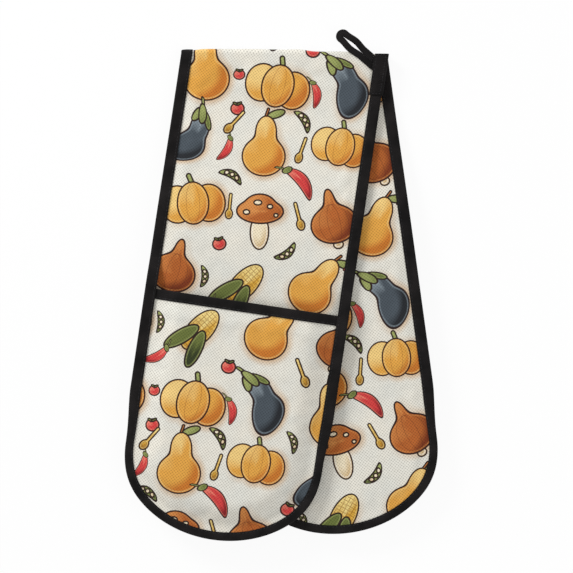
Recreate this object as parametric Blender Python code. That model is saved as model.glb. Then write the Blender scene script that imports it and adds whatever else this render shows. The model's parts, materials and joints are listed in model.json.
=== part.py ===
"""Double oven glove, lying flat with its padded strip folded in half.

Metres, +Z up. The back half lies underneath with its pocket below, the front half lies on it with its
pocket above, and the plain sides of both halves meet between them. The fold runs along X at the far
end, and the two halves lean apart from it towards the near end. A piece is laid out in the strip's own
terms first: across and along its half, inset from its edge, and offset from the face where the halves
meet. place() then puts those terms into the world.
"""
import math
from collections import namedtuple

import bmesh
import bpy
from mathutils import Vector

# Strip and pockets
STRIP_WIDTH = 0.180
FRONT_LENGTH = 0.431
BACK_LENGTH = 0.425
END_DEPTH = 0.074
POCKET_DEPTH = 0.210
SPLAY_DEG = 8.15

# Layers
CLOTH = 0.0006
STRIP_WADDING = 0.0030
STRIP_EDGE_WADDING = 0.0012
POCKET_WADDING = 0.0024
POCKET_EDGE_WADDING = 0.0010
HAND_SPACE = 0.0070
PIECE_GAP = 0.0003

# Binding tape
TAPE = 0.0007
BINDING_WIDTH = 0.0100
BINDING_ROUND = 0.0012
MOUTH_BAND_WIDTH = 0.0090
MOUTH_BAND_SINK = 0.0003
TAPE_CLEARANCE = 0.0005
OVERLAP_LENGTH = 0.0350
OVERLAP_WIDTH = 0.0112
OVERLAP_STEP = 0.0040
OVERLAP_HEM = 0.0005

# Where the padding reaches its full thickness
FIELD_INSET = 0.0200
CROWN_INSET = 0.0360
MOUTH_FIELD = 0.0210
MOUTH_LIFT_FADE = 0.0690
MOUTH_LIFT_RUN = 0.0300
MOUTH_LIFT_END = 0.0030

# Drape from the pocket down to the table, measured from the fold
DRAPE_START = 0.030
DRAPE_END = 0.170

# Hang loop
LOOP_LENGTH = 0.0405
LOOP_TAPE_WIDTH = 0.0056
LOOP_TAPE_THICKNESS = 0.0022
LOOP_END_THICKNESS = 0.0010
LOOP_TIP_EXTRA = 0.0011
LOOP_STRAND_GAP = 0.0004
LOOP_EYE_WIDTH = 0.0028
LOOP_EYE_LENGTH = 0.0225
LOOP_BEND_RADIUS = 0.0034
LOOP_TAPER = 0.0080
LOOP_CHAMFER = 0.0005
LOOP_HEADING_DEG = 142.0
LOOP_ROOT_DISTANCE = 0.0070
LOOP_ROOT_STANDOFF = 0.0010
LOOP_TAIL_INSET = 0.0020

# Points nearer than this are one point
MERGE_DISTANCE = 0.000001

# Facets
DRAPE_STEPS = 7
BINDING_RISE_STEPS = 3
END_STEPS = 16
FOLD_STEPS = 8
LOOP_STRAND_STEPS = 8
LOOP_BEND_STEPS = 8
SMOOTH_ANGLE_DEG = 40.0

# Rings where the pocket's crown is drawn, as shares of the way from the binding to the full crown
CROWN_RING_SHARES = (0.3, 0.65)

COS = math.cos(math.radians(SPLAY_DEG))
SIN = math.sin(math.radians(SPLAY_DEG))
TAN = math.tan(math.radians(SPLAY_DEG))
HALF_GAP = PIECE_GAP / 2
EDGE_INSET = TAPE + PIECE_GAP
BOUND_INSET = BINDING_WIDTH + TAPE_CLEARANCE

# lean is the way a half swings out from the fold, and out is the way its pocket faces
Half = namedtuple("Half", "name lean out length")
FRONT = Half("front", -1, 1, FRONT_LENGTH)
BACK = Half("back", 1, -1, BACK_LENGTH)

COLOURS = {
    "printed_cloth": ((0.72, 0.68, 0.59), 0.85),
    "wadding": ((0.85, 0.85, 0.83), 0.95),
    "binding": ((0.012, 0.012, 0.014), 0.80),
    "loop_tape": ((0.012, 0.012, 0.014), 0.75),
}


def ease(share):
    """A share from 0 to 1 that starts and ends gently."""
    held = min(max(share, 0), 1)
    return (1 - math.cos(math.pi * held)) / 2


def between(low, high, share):
    return low + (high - low) * share


def stack(start, *thicknesses):
    """The offsets of faces that lie one above the other from start."""
    offsets = [start]
    for thickness in thicknesses:
        offsets.append(offsets[-1] + thickness)
    return offsets


def field_share(inset):
    """0 where the binding pinches the edge, 1 where the padding is at its full thickness."""
    return ease((inset - BOUND_INSET) / (FIELD_INSET - BOUND_INSET))


def strip_faces(inset):
    """Offsets of the strip's faces: plain cloth, wadding and pocket-side cloth, low and high face each."""
    share = field_share(inset)
    start = HALF_GAP + EDGE_INSET * (1 - share)
    wadding = between(STRIP_EDGE_WADDING, STRIP_WADDING, share)
    return stack(start, CLOTH, PIECE_GAP, wadding, PIECE_GAP, CLOTH)


STRIP_EDGE_TOP = strip_faces(EDGE_INSET)[-1]
STRIP_TOP = strip_faces(FIELD_INSET)[-1]
PANEL_THICKNESS = CLOTH + PIECE_GAP + POCKET_WADDING + PIECE_GAP + CLOTH
PANEL_EDGE_THICKNESS = CLOTH + PIECE_GAP + POCKET_EDGE_WADDING + PIECE_GAP + CLOTH
POCKET_TOP = STRIP_TOP + HAND_SPACE + PANEL_THICKNESS
STRIP_BINDING_TOP = STRIP_EDGE_TOP + EDGE_INSET
POCKET_BINDING_TOP = STRIP_EDGE_TOP + PIECE_GAP + PANEL_EDGE_THICKNESS + EDGE_INSET
MOUTH_BINDING_TOP = POCKET_BINDING_TOP + EDGE_INSET + EDGE_INSET

FOLD_HEIGHT = STRIP_BINDING_TOP
POCKET_HEIGHT = POCKET_TOP


def meeting_height(reach):
    """Height of the face where the halves meet, at a distance from the fold along the strip."""
    share = ease((reach - DRAPE_START) / (DRAPE_END - DRAPE_START))
    return between(FOLD_HEIGHT, POCKET_HEIGHT, share)


def place(half, across, along, offset):
    """World point of a place on a half: across and along its strip, and outward from the meeting face."""
    x = across * COS + half.lean * along * SIN
    back_from_fold = along * COS - half.lean * across * SIN
    z = meeting_height(back_from_fold / COS) + half.out * offset
    return Vector((x, -back_from_fold, z))


def mouth_along(half):
    return half.length - POCKET_DEPTH


def end_along(half):
    return half.length - END_DEPTH


def end_depth(inset):
    """How far the rounded end reaches at an inset: a steady border first, then down to nothing."""
    border = min(inset, FIELD_INSET)
    left = (END_DEPTH - FIELD_INSET) * (inset - border) / (STRIP_WIDTH / 2 - FIELD_INSET)
    return END_DEPTH - border - left


def outline(half, inset, rows):
    """Points (across, along) of a half's outline at an inset, down one side, round the end and back.

    rows are (along, skew) pairs from the fold outwards. A skew of 1 lays a row parallel to the fold,
    and one of 0 lays it square to the strip. The last row is where the rounded end starts.
    """
    across = STRIP_WIDTH / 2 - inset
    sides = {}
    for side in (-1, 1):
        sides[side] = [
            (side * across, along + skew * half.lean * side * across * TAN) for along, skew in rows
        ]
    end = []
    for step in range(1, END_STEPS):
        angle = math.pi * (1 - step / END_STEPS)
        end.append((across * math.cos(angle), end_along(half) + end_depth(inset) * math.sin(angle)))
    return sides[-1] + end + sides[1][::-1]


def drape_rows():
    rows = [(HALF_GAP / COS, 1)]
    for step in range(DRAPE_STEPS + 1):
        rows.append((between(DRAPE_START, DRAPE_END, step / DRAPE_STEPS), 1))
    return rows


def panel_rows(half):
    """Rows of the pocket panel, from its bound edge at the mouth to where the rounded end starts."""
    mouth = mouth_along(half)
    bound = mouth + MOUTH_BAND_WIDTH + TAPE_CLEARANCE
    field = mouth + MOUTH_FIELD
    fade = mouth + MOUTH_LIFT_FADE
    return [(mouth + EDGE_INSET, 0), (bound, 0), (field, 0), (fade, 0), (end_along(half), 0)]


def mouth_field_share(half, along):
    """0 where the mouth band pinches the panel, 1 where its wadding is at its full thickness."""
    bound = MOUTH_BAND_WIDTH + TAPE_CLEARANCE
    return ease((along - mouth_along(half) - bound) / (MOUTH_FIELD - bound))


def mouth_lift_share(half, along):
    """1 where the mouth band's inner fold lies under the panel, fading to 0 further down the pocket."""
    bound = MOUTH_BAND_WIDTH + TAPE_CLEARANCE
    return 1 - ease((along - mouth_along(half) - bound) / (MOUTH_LIFT_FADE - bound))


def crown_share(inset):
    return ease((inset - BOUND_INSET) / (CROWN_INSET - BOUND_INSET))


def panel_faces(half, inset, along):
    """Offsets of the pocket panel's faces: lining, wadding and pocket cloth, low and high face each."""
    mouth_share = mouth_field_share(half, along)
    share = min(field_share(inset), mouth_share)
    wadding = between(POCKET_EDGE_WADDING, POCKET_WADDING, share)
    thickness = CLOTH + PIECE_GAP + wadding + PIECE_GAP + CLOTH
    seam_low = STRIP_EDGE_TOP + PIECE_GAP + EDGE_INSET * mouth_lift_share(half, along)
    crown_top = POCKET_TOP - (MOUTH_BAND_SINK + EDGE_INSET) * (1 - mouth_share)
    start = between(seam_low, crown_top - thickness, crown_share(inset))
    return stack(start, CLOTH, PIECE_GAP, wadding, PIECE_GAP, CLOTH)


def binding_top(half, along):
    """Offset of the edge binding's outer flank, which steps up over the pocket and its mouth band."""
    start = mouth_along(half) - MOUTH_LIFT_RUN
    rise = ease((along - start) / (MOUTH_LIFT_RUN - MOUTH_LIFT_END))
    over_pocket = between(POCKET_BINDING_TOP, MOUTH_BINDING_TOP, mouth_lift_share(half, along))
    return between(STRIP_BINDING_TOP, over_pocket, rise)


def folded_tape(width, low, high):
    """Section of a tape folded over an edge, as (inset, offset) points around it."""
    turn = BINDING_ROUND * (1 - math.sqrt(1 / 2))
    outside = [
        (width, low),
        (BINDING_ROUND, low),
        (turn, low + turn),
        (0, low + BINDING_ROUND),
        (0, high - BINDING_ROUND),
        (turn, high - turn),
        (BINDING_ROUND, high),
        (width, high),
    ]
    inside = [
        (width, high - TAPE),
        (TAPE, high - TAPE),
        (TAPE, low + TAPE),
        (width, low + TAPE),
    ]
    return outside + inside


def material(name):
    found = bpy.data.materials.get(name)
    if found:
        return found
    colour, roughness = COLOURS[name]
    made = bpy.data.materials.new(name)
    made.use_nodes = True
    shader = made.node_tree.nodes["Principled BSDF"]
    shader.inputs["Base Color"].default_value = (*colour, 1)
    shader.inputs["Roughness"].default_value = roughness
    shader.inputs["Metallic"].default_value = 0
    made.diffuse_color = (*colour, 1)
    return made


def finish(bm, name, finish_name, carrier):
    """Turn a finished bmesh in world places into a named object that its carrier holds."""
    bmesh.ops.recalc_face_normals(bm, faces=bm.faces)
    origin = carrier_origin(carrier)
    for vert in bm.verts:
        vert.co -= origin
    mesh = bpy.data.meshes.new(name)
    bm.to_mesh(mesh)
    bm.free()
    mesh.shade_smooth()
    mesh.set_sharp_from_angle(angle=math.radians(SMOOTH_ANGLE_DEG))
    mesh.materials.append(material(finish_name))
    made = bpy.data.objects.new(name, mesh)
    bpy.context.collection.objects.link(made)
    made.parent = carrier
    return made


def carrier_origin(carrier):
    origin = Vector()
    while carrier:
        origin += carrier.location
        carrier = carrier.parent
    return origin


def carrier(name, at, parent=None):
    """An empty that stands for a moving body, on its joint's axis."""
    made = bpy.data.objects.new(name, None)
    bpy.context.collection.objects.link(made)
    made.parent = parent
    made.location = at - carrier_origin(parent)
    return made


def loft(name, sections, finish_name, held_by):
    """A closed solid through sections that all have the same number of points."""
    bm = bmesh.new()
    loops = [[bm.verts.new(point) for point in section] for section in sections]
    for low, high in zip(loops, loops[1:]):
        for index in range(len(low)):
            after = (index + 1) % len(low)
            bm.faces.new((low[index], low[after], high[after], high[index]))
    bm.faces.new(loops[0][::-1])
    bm.faces.new(loops[-1])
    return finish(bm, name, finish_name, held_by)


def sheet(name, half, insets, rows, faces, finish_name, held_by):
    """A closed layer of a half, from its edge to its middle line, between two faces.

    The flat layer is a grid of rings and rows that meets itself along the middle line. It is extruded
    for its second face, and both are then put at their offsets.
    """
    rings = [outline(half, inset, rows) for inset in insets]
    across_steps = len(rings[0]) - 1
    inset_steps = len(rings) - 1
    bm = bmesh.new()
    bmesh.ops.create_grid(bm, x_segments=across_steps, y_segments=inset_steps, size=1)
    for vert in bm.verts:
        point = round((vert.co.x + 1) / 2 * across_steps)
        ring = round((vert.co.y + 1) / 2 * inset_steps)
        vert.co = (*rings[ring][point], insets[ring])
    bmesh.ops.remove_doubles(bm, verts=bm.verts, dist=MERGE_DISTANCE)
    extruded = bmesh.ops.extrude_face_region(bm, geom=bm.faces[:])["geom"]
    high = {item for item in extruded if isinstance(item, bmesh.types.BMVert)}
    for vert in bm.verts:
        across, along, inset = vert.co
        offset = faces(inset, along)[1 if vert in high else 0]
        vert.co = place(half, across, along, offset)
    return finish(bm, name, finish_name, held_by)


def make_strip_layers(half, held_by):
    insets = (EDGE_INSET, BOUND_INSET, FIELD_INSET, STRIP_WIDTH / 4, STRIP_WIDTH / 2)
    rows = drape_rows() + [(end_along(half), 0)]
    layers = (("plain_cloth", "printed_cloth"), ("wadding", "wadding"), ("pocket_side_cloth", "printed_cloth"))
    for index, (layer, finish_name) in enumerate(layers):
        pair = slice(2 * index, 2 * index + 2)
        sheet(
            f"{half.name}_{layer}",
            half,
            insets,
            rows,
            lambda inset, along, pair=pair: strip_faces(inset)[pair],
            finish_name,
            held_by,
        )


def crown_insets():
    rings = [between(BOUND_INSET, CROWN_INSET, share) for share in CROWN_RING_SHARES]
    return [EDGE_INSET, BOUND_INSET] + rings + [CROWN_INSET]


def make_pocket_panel(half, held_by):
    insets = crown_insets() + [STRIP_WIDTH / 2]
    layers = (("pocket_lining", "printed_cloth"), ("pocket_wadding", "wadding"), ("pocket_cloth", "printed_cloth"))
    for index, (layer, finish_name) in enumerate(layers):
        pair = slice(2 * index, 2 * index + 2)
        sheet(
            f"{half.name}_{layer}",
            half,
            insets,
            panel_rows(half),
            lambda inset, along, pair=pair: panel_faces(half, inset, along)[pair],
            finish_name,
            held_by,
        )


def make_mouth_band(half, held_by):
    """The tape folded over the pocket's mouth, caught at both ends in the edge binding."""
    mouth = mouth_along(half)
    insets = crown_insets()
    stations = [(-1, inset) for inset in insets] + [(1, inset) for inset in insets[::-1]]
    sections = []
    for side, inset in stations:
        faces = panel_faces(half, inset, mouth)
        section = folded_tape(MOUTH_BAND_WIDTH, faces[0] - EDGE_INSET, faces[-1] + EDGE_INSET)
        across = side * (STRIP_WIDTH / 2 - inset)
        sections.append([place(half, across, mouth + depth, offset) for depth, offset in section])
    loft(f"{half.name}_mouth_binding", sections, "binding", held_by)


def make_edge_binding(half, held_by):
    """The tape folded over the edge of a half, from the fold round its end and back to the fold."""
    mouth = mouth_along(half)
    run = MOUTH_LIFT_RUN - MOUTH_LIFT_END
    rise = [
        (mouth - MOUTH_LIFT_RUN + run * step / BINDING_RISE_STEPS, 0)
        for step in range(BINDING_RISE_STEPS + 1)
    ]
    rows = drape_rows() + rise + panel_rows(half)[1:]
    edge = outline(half, 0, rows)
    lines = {inset: outline(half, inset, rows) for inset, _ in folded_tape(BINDING_WIDTH, 0, TAPE)}
    sections = []
    for index, (_, along) in enumerate(edge):
        section = []
        for inset, offset in folded_tape(BINDING_WIDTH, HALF_GAP, binding_top(half, along)):
            section.append(place(half, *lines[inset][index], offset))
        sections.append(section)
    loft(f"{half.name}_edge_binding", sections, "binding", held_by)


def fold_point(x, radius, angle):
    """A point of the fold, at a radius and angle about its axis, from the back half round to the front."""
    return Vector((x, HALF_GAP + radius * math.sin(angle), FOLD_HEIGHT - radius * math.cos(angle)))


def fold_x(side, inset):
    """Where an inset line of the strip crosses the fold."""
    return side * (STRIP_WIDTH / 2 - inset) / COS


def fold_angles():
    return [math.pi * step / FOLD_STEPS for step in range(FOLD_STEPS + 1)]


def make_fold_layers(held_by):
    """The bight of each strip layer, wrapped half round the fold's axis."""
    insets = (EDGE_INSET, BOUND_INSET, FIELD_INSET)
    stations = [(-1, inset) for inset in insets] + [(1, inset) for inset in insets[::-1]]
    layers = (("plain_cloth", "printed_cloth"), ("wadding", "wadding"), ("pocket_side_cloth", "printed_cloth"))
    for index, (layer, finish_name) in enumerate(layers):
        sections = []
        for side, inset in stations:
            low, high = strip_faces(inset)[2 * index:2 * index + 2]
            x = fold_x(side, inset)
            outer = [fold_point(x, high, angle) for angle in fold_angles()]
            inner = [fold_point(x, low, angle) for angle in reversed(fold_angles())]
            sections.append(outer + inner)
        loft(f"fold_{layer}", sections, finish_name, held_by)


def make_fold_bindings(held_by):
    """The binding's two short bights, which carry it round the ends of the fold."""
    tape = folded_tape(BINDING_WIDTH, HALF_GAP, STRIP_BINDING_TOP)
    for side, name in ((-1, "left"), (1, "right")):
        sections = []
        for angle in fold_angles():
            sections.append([fold_point(fold_x(side, inset), offset, angle) for inset, offset in tape])
        loft(f"fold_binding_{name}", sections, "binding", held_by)


def front_along(across, back_from_fold):
    """How far along the front half a point lies that is a distance back from the fold."""
    return back_from_fold / COS + FRONT.lean * across * TAN


LOOP_HINGE_INSET = OVERLAP_WIDTH + LOOP_ROOT_STANDOFF
LOOP_END_LOW = STRIP_BINDING_TOP + PIECE_GAP
LOOP_END_HIGH = LOOP_END_LOW + LOOP_END_THICKNESS
LOOP_HINGE_OFFSET = LOOP_END_HIGH
LOOP_LOW = STRIP_TOP + PIECE_GAP


def loop_hinge_point():
    across = STRIP_WIDTH / 2 - LOOP_HINGE_INSET
    return place(FRONT, across, front_along(across, LOOP_ROOT_DISTANCE), LOOP_HINGE_OFFSET)


def loop_directions():
    """The loop's heading, the way across its strands, its hinge line and the way in from that line."""
    angle = math.radians(LOOP_HEADING_DEG)
    heading = Vector((math.cos(angle), math.sin(angle), 0))
    sideways = Vector((math.sin(angle), -math.cos(angle), 0))
    hinge = Vector((SIN, COS, 0))
    inward = Vector((-COS, SIN, 0))
    return heading, sideways, hinge, inward


def loop_half_width(reach):
    """Half the width between the loop's strand centres: side by side at first, then round the eye."""
    beside = (LOOP_TAPE_WIDTH + LOOP_STRAND_GAP) / 2
    eye_end = LOOP_LENGTH - LOOP_TAPE_WIDTH / 2 - LOOP_TIP_EXTRA - LOOP_BEND_RADIUS
    share = (reach - (eye_end - LOOP_EYE_LENGTH)) / LOOP_EYE_LENGTH
    if share <= 0:
        return beside
    bulge = (LOOP_EYE_WIDTH - LOOP_STRAND_GAP) / 2
    return beside + (LOOP_BEND_RADIUS - beside) * ease(share) + bulge * math.sin(math.pi * min(share, 1)) ** 2


def loop_path():
    """Stations of the loop's tape from its lower root to its upper: reach, side, outward way, bend share."""
    bend_centre = LOOP_LENGTH - LOOP_TAPE_WIDTH / 2 - LOOP_TIP_EXTRA - LOOP_BEND_RADIUS
    stations = []
    for step in range(LOOP_STRAND_STEPS):
        reach = bend_centre * step / LOOP_STRAND_STEPS
        stations.append((reach, -loop_half_width(reach), (0, -1), 0))
    for step in range(LOOP_BEND_STEPS + 1):
        angle = math.pi * step / LOOP_BEND_STEPS
        outward = (math.sin(angle), -math.cos(angle))
        reach = bend_centre + LOOP_BEND_RADIUS * outward[0]
        stations.append((reach, LOOP_BEND_RADIUS * outward[1], outward, math.sin(angle)))
    for step in reversed(range(LOOP_STRAND_STEPS)):
        reach = bend_centre * step / LOOP_STRAND_STEPS
        stations.append((reach, loop_half_width(reach), (0, 1), 0))
    return stations


def tape_section(inner, outer, low, high):
    """Eight points round a flat tape with its corners taken off."""
    cut = min(LOOP_CHAMFER, (high - low) / 4)
    return [
        (inner + cut, low),
        (outer - cut, low),
        (outer, low + cut),
        (outer, high - cut),
        (outer - cut, high),
        (inner + cut, high),
        (inner, high - cut),
        (inner, low + cut),
    ]


def make_loop(held_by):
    """The hang loop's free part, from its hinge line at the overlap's edge to its tip and back."""
    root = loop_hinge_point()
    heading, sideways, hinge, inward = loop_directions()
    base = root.z - LOOP_HINGE_OFFSET
    path = loop_path()
    sections = []
    for index, (reach, side, outward, bend) in enumerate(path):
        share = ease(reach / LOOP_TAPER)
        thickness = between(LOOP_END_THICKNESS, LOOP_TAPE_THICKNESS, share)
        low = base + between(LOOP_END_LOW, LOOP_LOW, share)
        half_width = LOOP_TAPE_WIDTH / 2
        profile = tape_section(-half_width, half_width + LOOP_TIP_EXTRA * bend, low, low + thickness)
        centre = Vector((root.x, root.y, 0)) + sideways * side
        way = heading * outward[0] + sideways * outward[1]
        if index in (0, len(path) - 1):
            way = hinge * (outward[1] / abs(hinge.dot(sideways)))
            start = (PIECE_GAP - centre_distance(centre, root, inward)) / inward.dot(heading)
            centre += heading * start
        else:
            centre += heading * reach
        sections.append([centre + way * across + Vector((0, 0, height)) for across, height in profile])
    loft("hang_loop", sections, "loop_tape", held_by)


def centre_distance(centre, root, inward):
    """How far in from the hinge line a point lies."""
    return (centre.x - root.x) * inward.x + (centre.y - root.y) * inward.y


def make_loop_ends(held_by):
    """The loop's two ends side by side, sewn flat onto the binding under its overlapping end."""
    root = loop_hinge_point()
    heading, sideways, hinge, inward = loop_directions()
    base = root.z - LOOP_HINGE_OFFSET
    spread = LOOP_TAPE_WIDTH + LOOP_STRAND_GAP / 2
    near = -PIECE_GAP
    far = LOOP_TAIL_INSET - LOOP_HINGE_INSET
    sections = []
    for side in (-1, 1):
        section = []
        for distance, offset in (
            (near, LOOP_END_LOW), (near, LOOP_END_HIGH), (far, LOOP_END_HIGH), (far, LOOP_END_LOW)
        ):
            point = Vector((root.x, root.y, base + offset)) + sideways * side * spread
            reach = (distance - centre_distance(point, root, inward)) / inward.dot(heading)
            section.append(point + heading * reach)
        sections.append(section)
    loft("hang_loop_ends", sections, "loop_tape", held_by)


def overlap_section(top):
    """The overlapping tape end: flat on the binding, with its outer side turned down over the edge."""
    outer = -EDGE_INSET
    inner = -PIECE_GAP
    turn = BINDING_ROUND * (1 - math.sqrt(1 / 2))
    hem = HALF_GAP + OVERLAP_HEM
    return [
        (OVERLAP_WIDTH, top),
        (outer + BINDING_ROUND, top),
        (outer + turn, top - turn),
        (outer, top - BINDING_ROUND),
        (outer, hem),
        (inner, hem),
        (inner, top - BINDING_ROUND),
        (inner + turn, top - TAPE - turn),
        (outer + BINDING_ROUND, top - TAPE),
        (OVERLAP_WIDTH, top - TAPE),
    ]


def make_overlap(held_by):
    """The binding tape's last end, lapped over its start and over the sewn ends of the hang loop."""
    low_top = STRIP_BINDING_TOP + EDGE_INSET
    high_top = LOOP_END_HIGH + EDGE_INSET
    root = loop_hinge_point()
    heading, _, _, inward = loop_directions()
    tail_run = (LOOP_HINGE_INSET - LOOP_TAIL_INSET) / inward.dot(heading)
    step_start = -root.y + tail_run * heading.y + LOOP_TAPE_WIDTH / inward.dot(heading) + PIECE_GAP
    rows = (
        (HALF_GAP, high_top),
        (step_start, high_top),
        (step_start + OVERLAP_STEP, low_top),
        (OVERLAP_LENGTH, low_top),
    )
    sections = []
    for back_from_fold, top in rows:
        section = []
        for inset, offset in overlap_section(top):
            across = STRIP_WIDTH / 2 - inset
            section.append(place(FRONT, across, front_along(across, back_from_fold), offset))
        sections.append(section)
    loft("binding_overlap", sections, "binding", held_by)


def stand_on_origin(root):
    """Shift the whole glove so that its bounding box stands centred on the origin."""
    bpy.context.view_layer.update()
    points = []
    for item in bpy.data.objects:
        if item.type == "MESH":
            points.extend(item.matrix_world @ Vector(corner) for corner in item.bound_box)
    low = Vector(min(point[axis] for point in points) for axis in range(3))
    high = Vector(max(point[axis] for point in points) for axis in range(3))
    root.location -= Vector(((low.x + high.x) / 2, (low.y + high.y) / 2, low.z))


def main():
    for item in list(bpy.data.objects):
        bpy.data.objects.remove(item, do_unlink=True)
    back = carrier("back_half", Vector())
    front = carrier("front_half", Vector((0, 0, FOLD_HEIGHT)), back)
    loop = carrier("loop_hinge", loop_hinge_point(), front)
    for half, held_by in ((BACK, back), (FRONT, front)):
        make_strip_layers(half, held_by)
        make_pocket_panel(half, held_by)
        make_mouth_band(half, held_by)
        make_edge_binding(half, held_by)
    make_fold_layers(back)
    make_fold_bindings(back)
    make_loop(loop)
    make_loop_ends(front)
    make_overlap(front)
    stand_on_origin(back)
    bpy.context.view_layer.update()
    for item in (front, loop):
        print(item.name, [round(value, 5) for value in item.matrix_world.translation])


main()
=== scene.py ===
# %% [markdown]
# This lesson dresses a double oven glove: one long padded strip with round ends, folded in half, with a
# hand pocket at each end, black tape over every edge and a small loop to hang it by. The frame gives the
# plain solids and the two joints. Everything made here is laid out flat first, the way a sewer cuts and
# stuffs it, and is folded into place only at the end.

# %% Load the frame
import json
import math
from collections import namedtuple

import bmesh
import bpy
import numpy as np
from mathutils import Matrix, Vector, noise


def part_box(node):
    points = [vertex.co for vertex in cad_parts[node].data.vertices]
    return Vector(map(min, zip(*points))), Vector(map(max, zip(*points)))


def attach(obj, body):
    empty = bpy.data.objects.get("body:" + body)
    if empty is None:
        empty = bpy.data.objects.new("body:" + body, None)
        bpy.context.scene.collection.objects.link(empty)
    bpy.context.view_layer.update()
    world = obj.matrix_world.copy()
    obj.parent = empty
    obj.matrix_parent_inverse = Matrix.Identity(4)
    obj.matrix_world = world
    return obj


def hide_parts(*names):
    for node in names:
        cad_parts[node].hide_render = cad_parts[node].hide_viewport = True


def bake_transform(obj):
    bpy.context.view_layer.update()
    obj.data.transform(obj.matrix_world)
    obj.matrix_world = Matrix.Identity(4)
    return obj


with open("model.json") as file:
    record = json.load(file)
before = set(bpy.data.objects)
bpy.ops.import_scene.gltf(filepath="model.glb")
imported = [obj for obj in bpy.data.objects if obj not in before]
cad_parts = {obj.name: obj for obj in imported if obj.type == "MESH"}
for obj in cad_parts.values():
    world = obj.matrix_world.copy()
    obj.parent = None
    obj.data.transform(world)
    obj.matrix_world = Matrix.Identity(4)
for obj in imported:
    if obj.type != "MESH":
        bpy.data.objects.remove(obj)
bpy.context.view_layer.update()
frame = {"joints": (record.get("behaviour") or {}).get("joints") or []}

FOLD = Vector(next(joint["pos_m"] for joint in frame["joints"] if joint["name"] == "fold"))
print("fold axis at", [round(value, 4) for value in FOLD])

# %% [markdown]
# A few real sizes drive the glove. They are the same sizes that the solids have, in metres. The strip's
# two halves lean apart from the fold, and each layer lies at its own lift above the face where the halves
# meet. Near the tape the wadding is pinched thin, and away from it the wadding stands at its full height.

# %% Sizes
STRIP_WIDTH = 0.180
END_DEPTH = 0.074
POCKET_DEPTH = 0.210
SPLAY = math.radians(8.15)
COS, SIN, TAN = math.cos(SPLAY), math.sin(SPLAY), math.tan(SPLAY)

CLOTH = 0.0006
GAP = 0.0003
HALF_GAP = GAP / 2
TAPE = 0.0007
EDGE_INSET = TAPE + GAP
BINDING_WIDTH = 0.0100
BOUND_INSET = BINDING_WIDTH + 0.0005
FIELD_INSET = 0.0200
CROWN_INSET = 0.0360
BAND_WIDTH = 0.0090
BAND_FIELD = 0.0210
BAND_FADE = 0.0690
BAND_RISE = 0.0300
BAND_RISE_END = 0.0030
STRIP_WADDING = 0.0030
STRIP_EDGE_WADDING = 0.0012
POCKET_WADDING = 0.0024
POCKET_EDGE_WADDING = 0.0010
HAND_SPACE = 0.0070
DRAPE_START = 0.030
DRAPE_END = 0.170

# lean is the way a half swings out from the fold, and out is the way its pocket faces
Half = namedtuple("Half", "name body lean out length")
FRONT = Half("front", "front_half", -1, 1, 0.431)
BACK = Half("back", "back_half", 1, -1, 0.425)


def ease(share):
    """A share from 0 to 1 that starts and ends gently."""
    return (1 - math.cos(math.pi * min(max(share, 0), 1))) / 2


def between(low, high, share):
    return low + (high - low) * share


def stack(start, *thicknesses):
    lifts = [start]
    for thickness in thicknesses:
        lifts.append(lifts[-1] + thickness)
    return lifts


def strip_lifts(inset):
    """Lifts of the strip's faces: plain cloth, wadding and pocket-side cloth, low and high face each."""
    share = ease((inset - BOUND_INSET) / (FIELD_INSET - BOUND_INSET))
    wadding = between(STRIP_EDGE_WADDING, STRIP_WADDING, share)
    return stack(HALF_GAP + EDGE_INSET * (1 - share), CLOTH, GAP, wadding, GAP, CLOTH)


STRIP_EDGE_TOP = strip_lifts(0)[-1]
STRIP_TOP = strip_lifts(FIELD_INSET)[-1]
PANEL = 2 * CLOTH + 2 * GAP + POCKET_WADDING
PANEL_EDGE = 2 * CLOTH + 2 * GAP + POCKET_EDGE_WADDING
POCKET_TOP = STRIP_TOP + HAND_SPACE + PANEL
BINDING_TOP = STRIP_EDGE_TOP + EDGE_INSET
POCKET_BINDING_TOP = STRIP_EDGE_TOP + GAP + PANEL_EDGE + EDGE_INSET
MOUTH_BINDING_TOP = POCKET_BINDING_TOP + 2 * EDGE_INSET


def mouth_of(half):
    return half.length - POCKET_DEPTH


def end_of(half):
    return half.length - END_DEPTH


def past_band(half, along, far):
    """0 at the mouth band's sewn edge, 1 at a distance down the pocket."""
    bound = BAND_WIDTH + BOUND_INSET - BINDING_WIDTH
    return ease((along - mouth_of(half) - bound) / (far - bound))


def panel_lifts(half, inset, along):
    """Lifts of the pocket panel's faces: lining, wadding and pocket cloth, low and high face each."""
    field = past_band(half, along, BAND_FIELD)
    edge = ease((inset - BOUND_INSET) / (FIELD_INSET - BOUND_INSET))
    crown = ease((inset - BOUND_INSET) / (CROWN_INSET - BOUND_INSET))
    wadding = between(POCKET_EDGE_WADDING, POCKET_WADDING, min(edge, field))
    seam = STRIP_EDGE_TOP + GAP + EDGE_INSET * (1 - past_band(half, along, BAND_FADE))
    top = POCKET_TOP - (GAP + EDGE_INSET) * (1 - field) - wadding - PANEL + POCKET_WADDING
    return stack(between(seam, top, crown), CLOTH, GAP, wadding, GAP, CLOTH)


def binding_top(half, along):
    """Lift of the edge binding's outer flank, which steps up over the pocket and its mouth band."""
    start = mouth_of(half) - BAND_RISE
    rise = ease((along - start) / (BAND_RISE - BAND_RISE_END))
    pocket = between(POCKET_BINDING_TOP, MOUTH_BINDING_TOP, 1 - past_band(half, along, BAND_FADE))
    return between(BINDING_TOP, pocket, rise)


low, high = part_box("front_pocket_cloth")
print("pocket stands", round((high.z - FOLD.z) * 1000, 2), "mm over the fold axis, sizes give",
      round((POCKET_TOP * 2 - BINDING_TOP) * 1000, 2))

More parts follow.
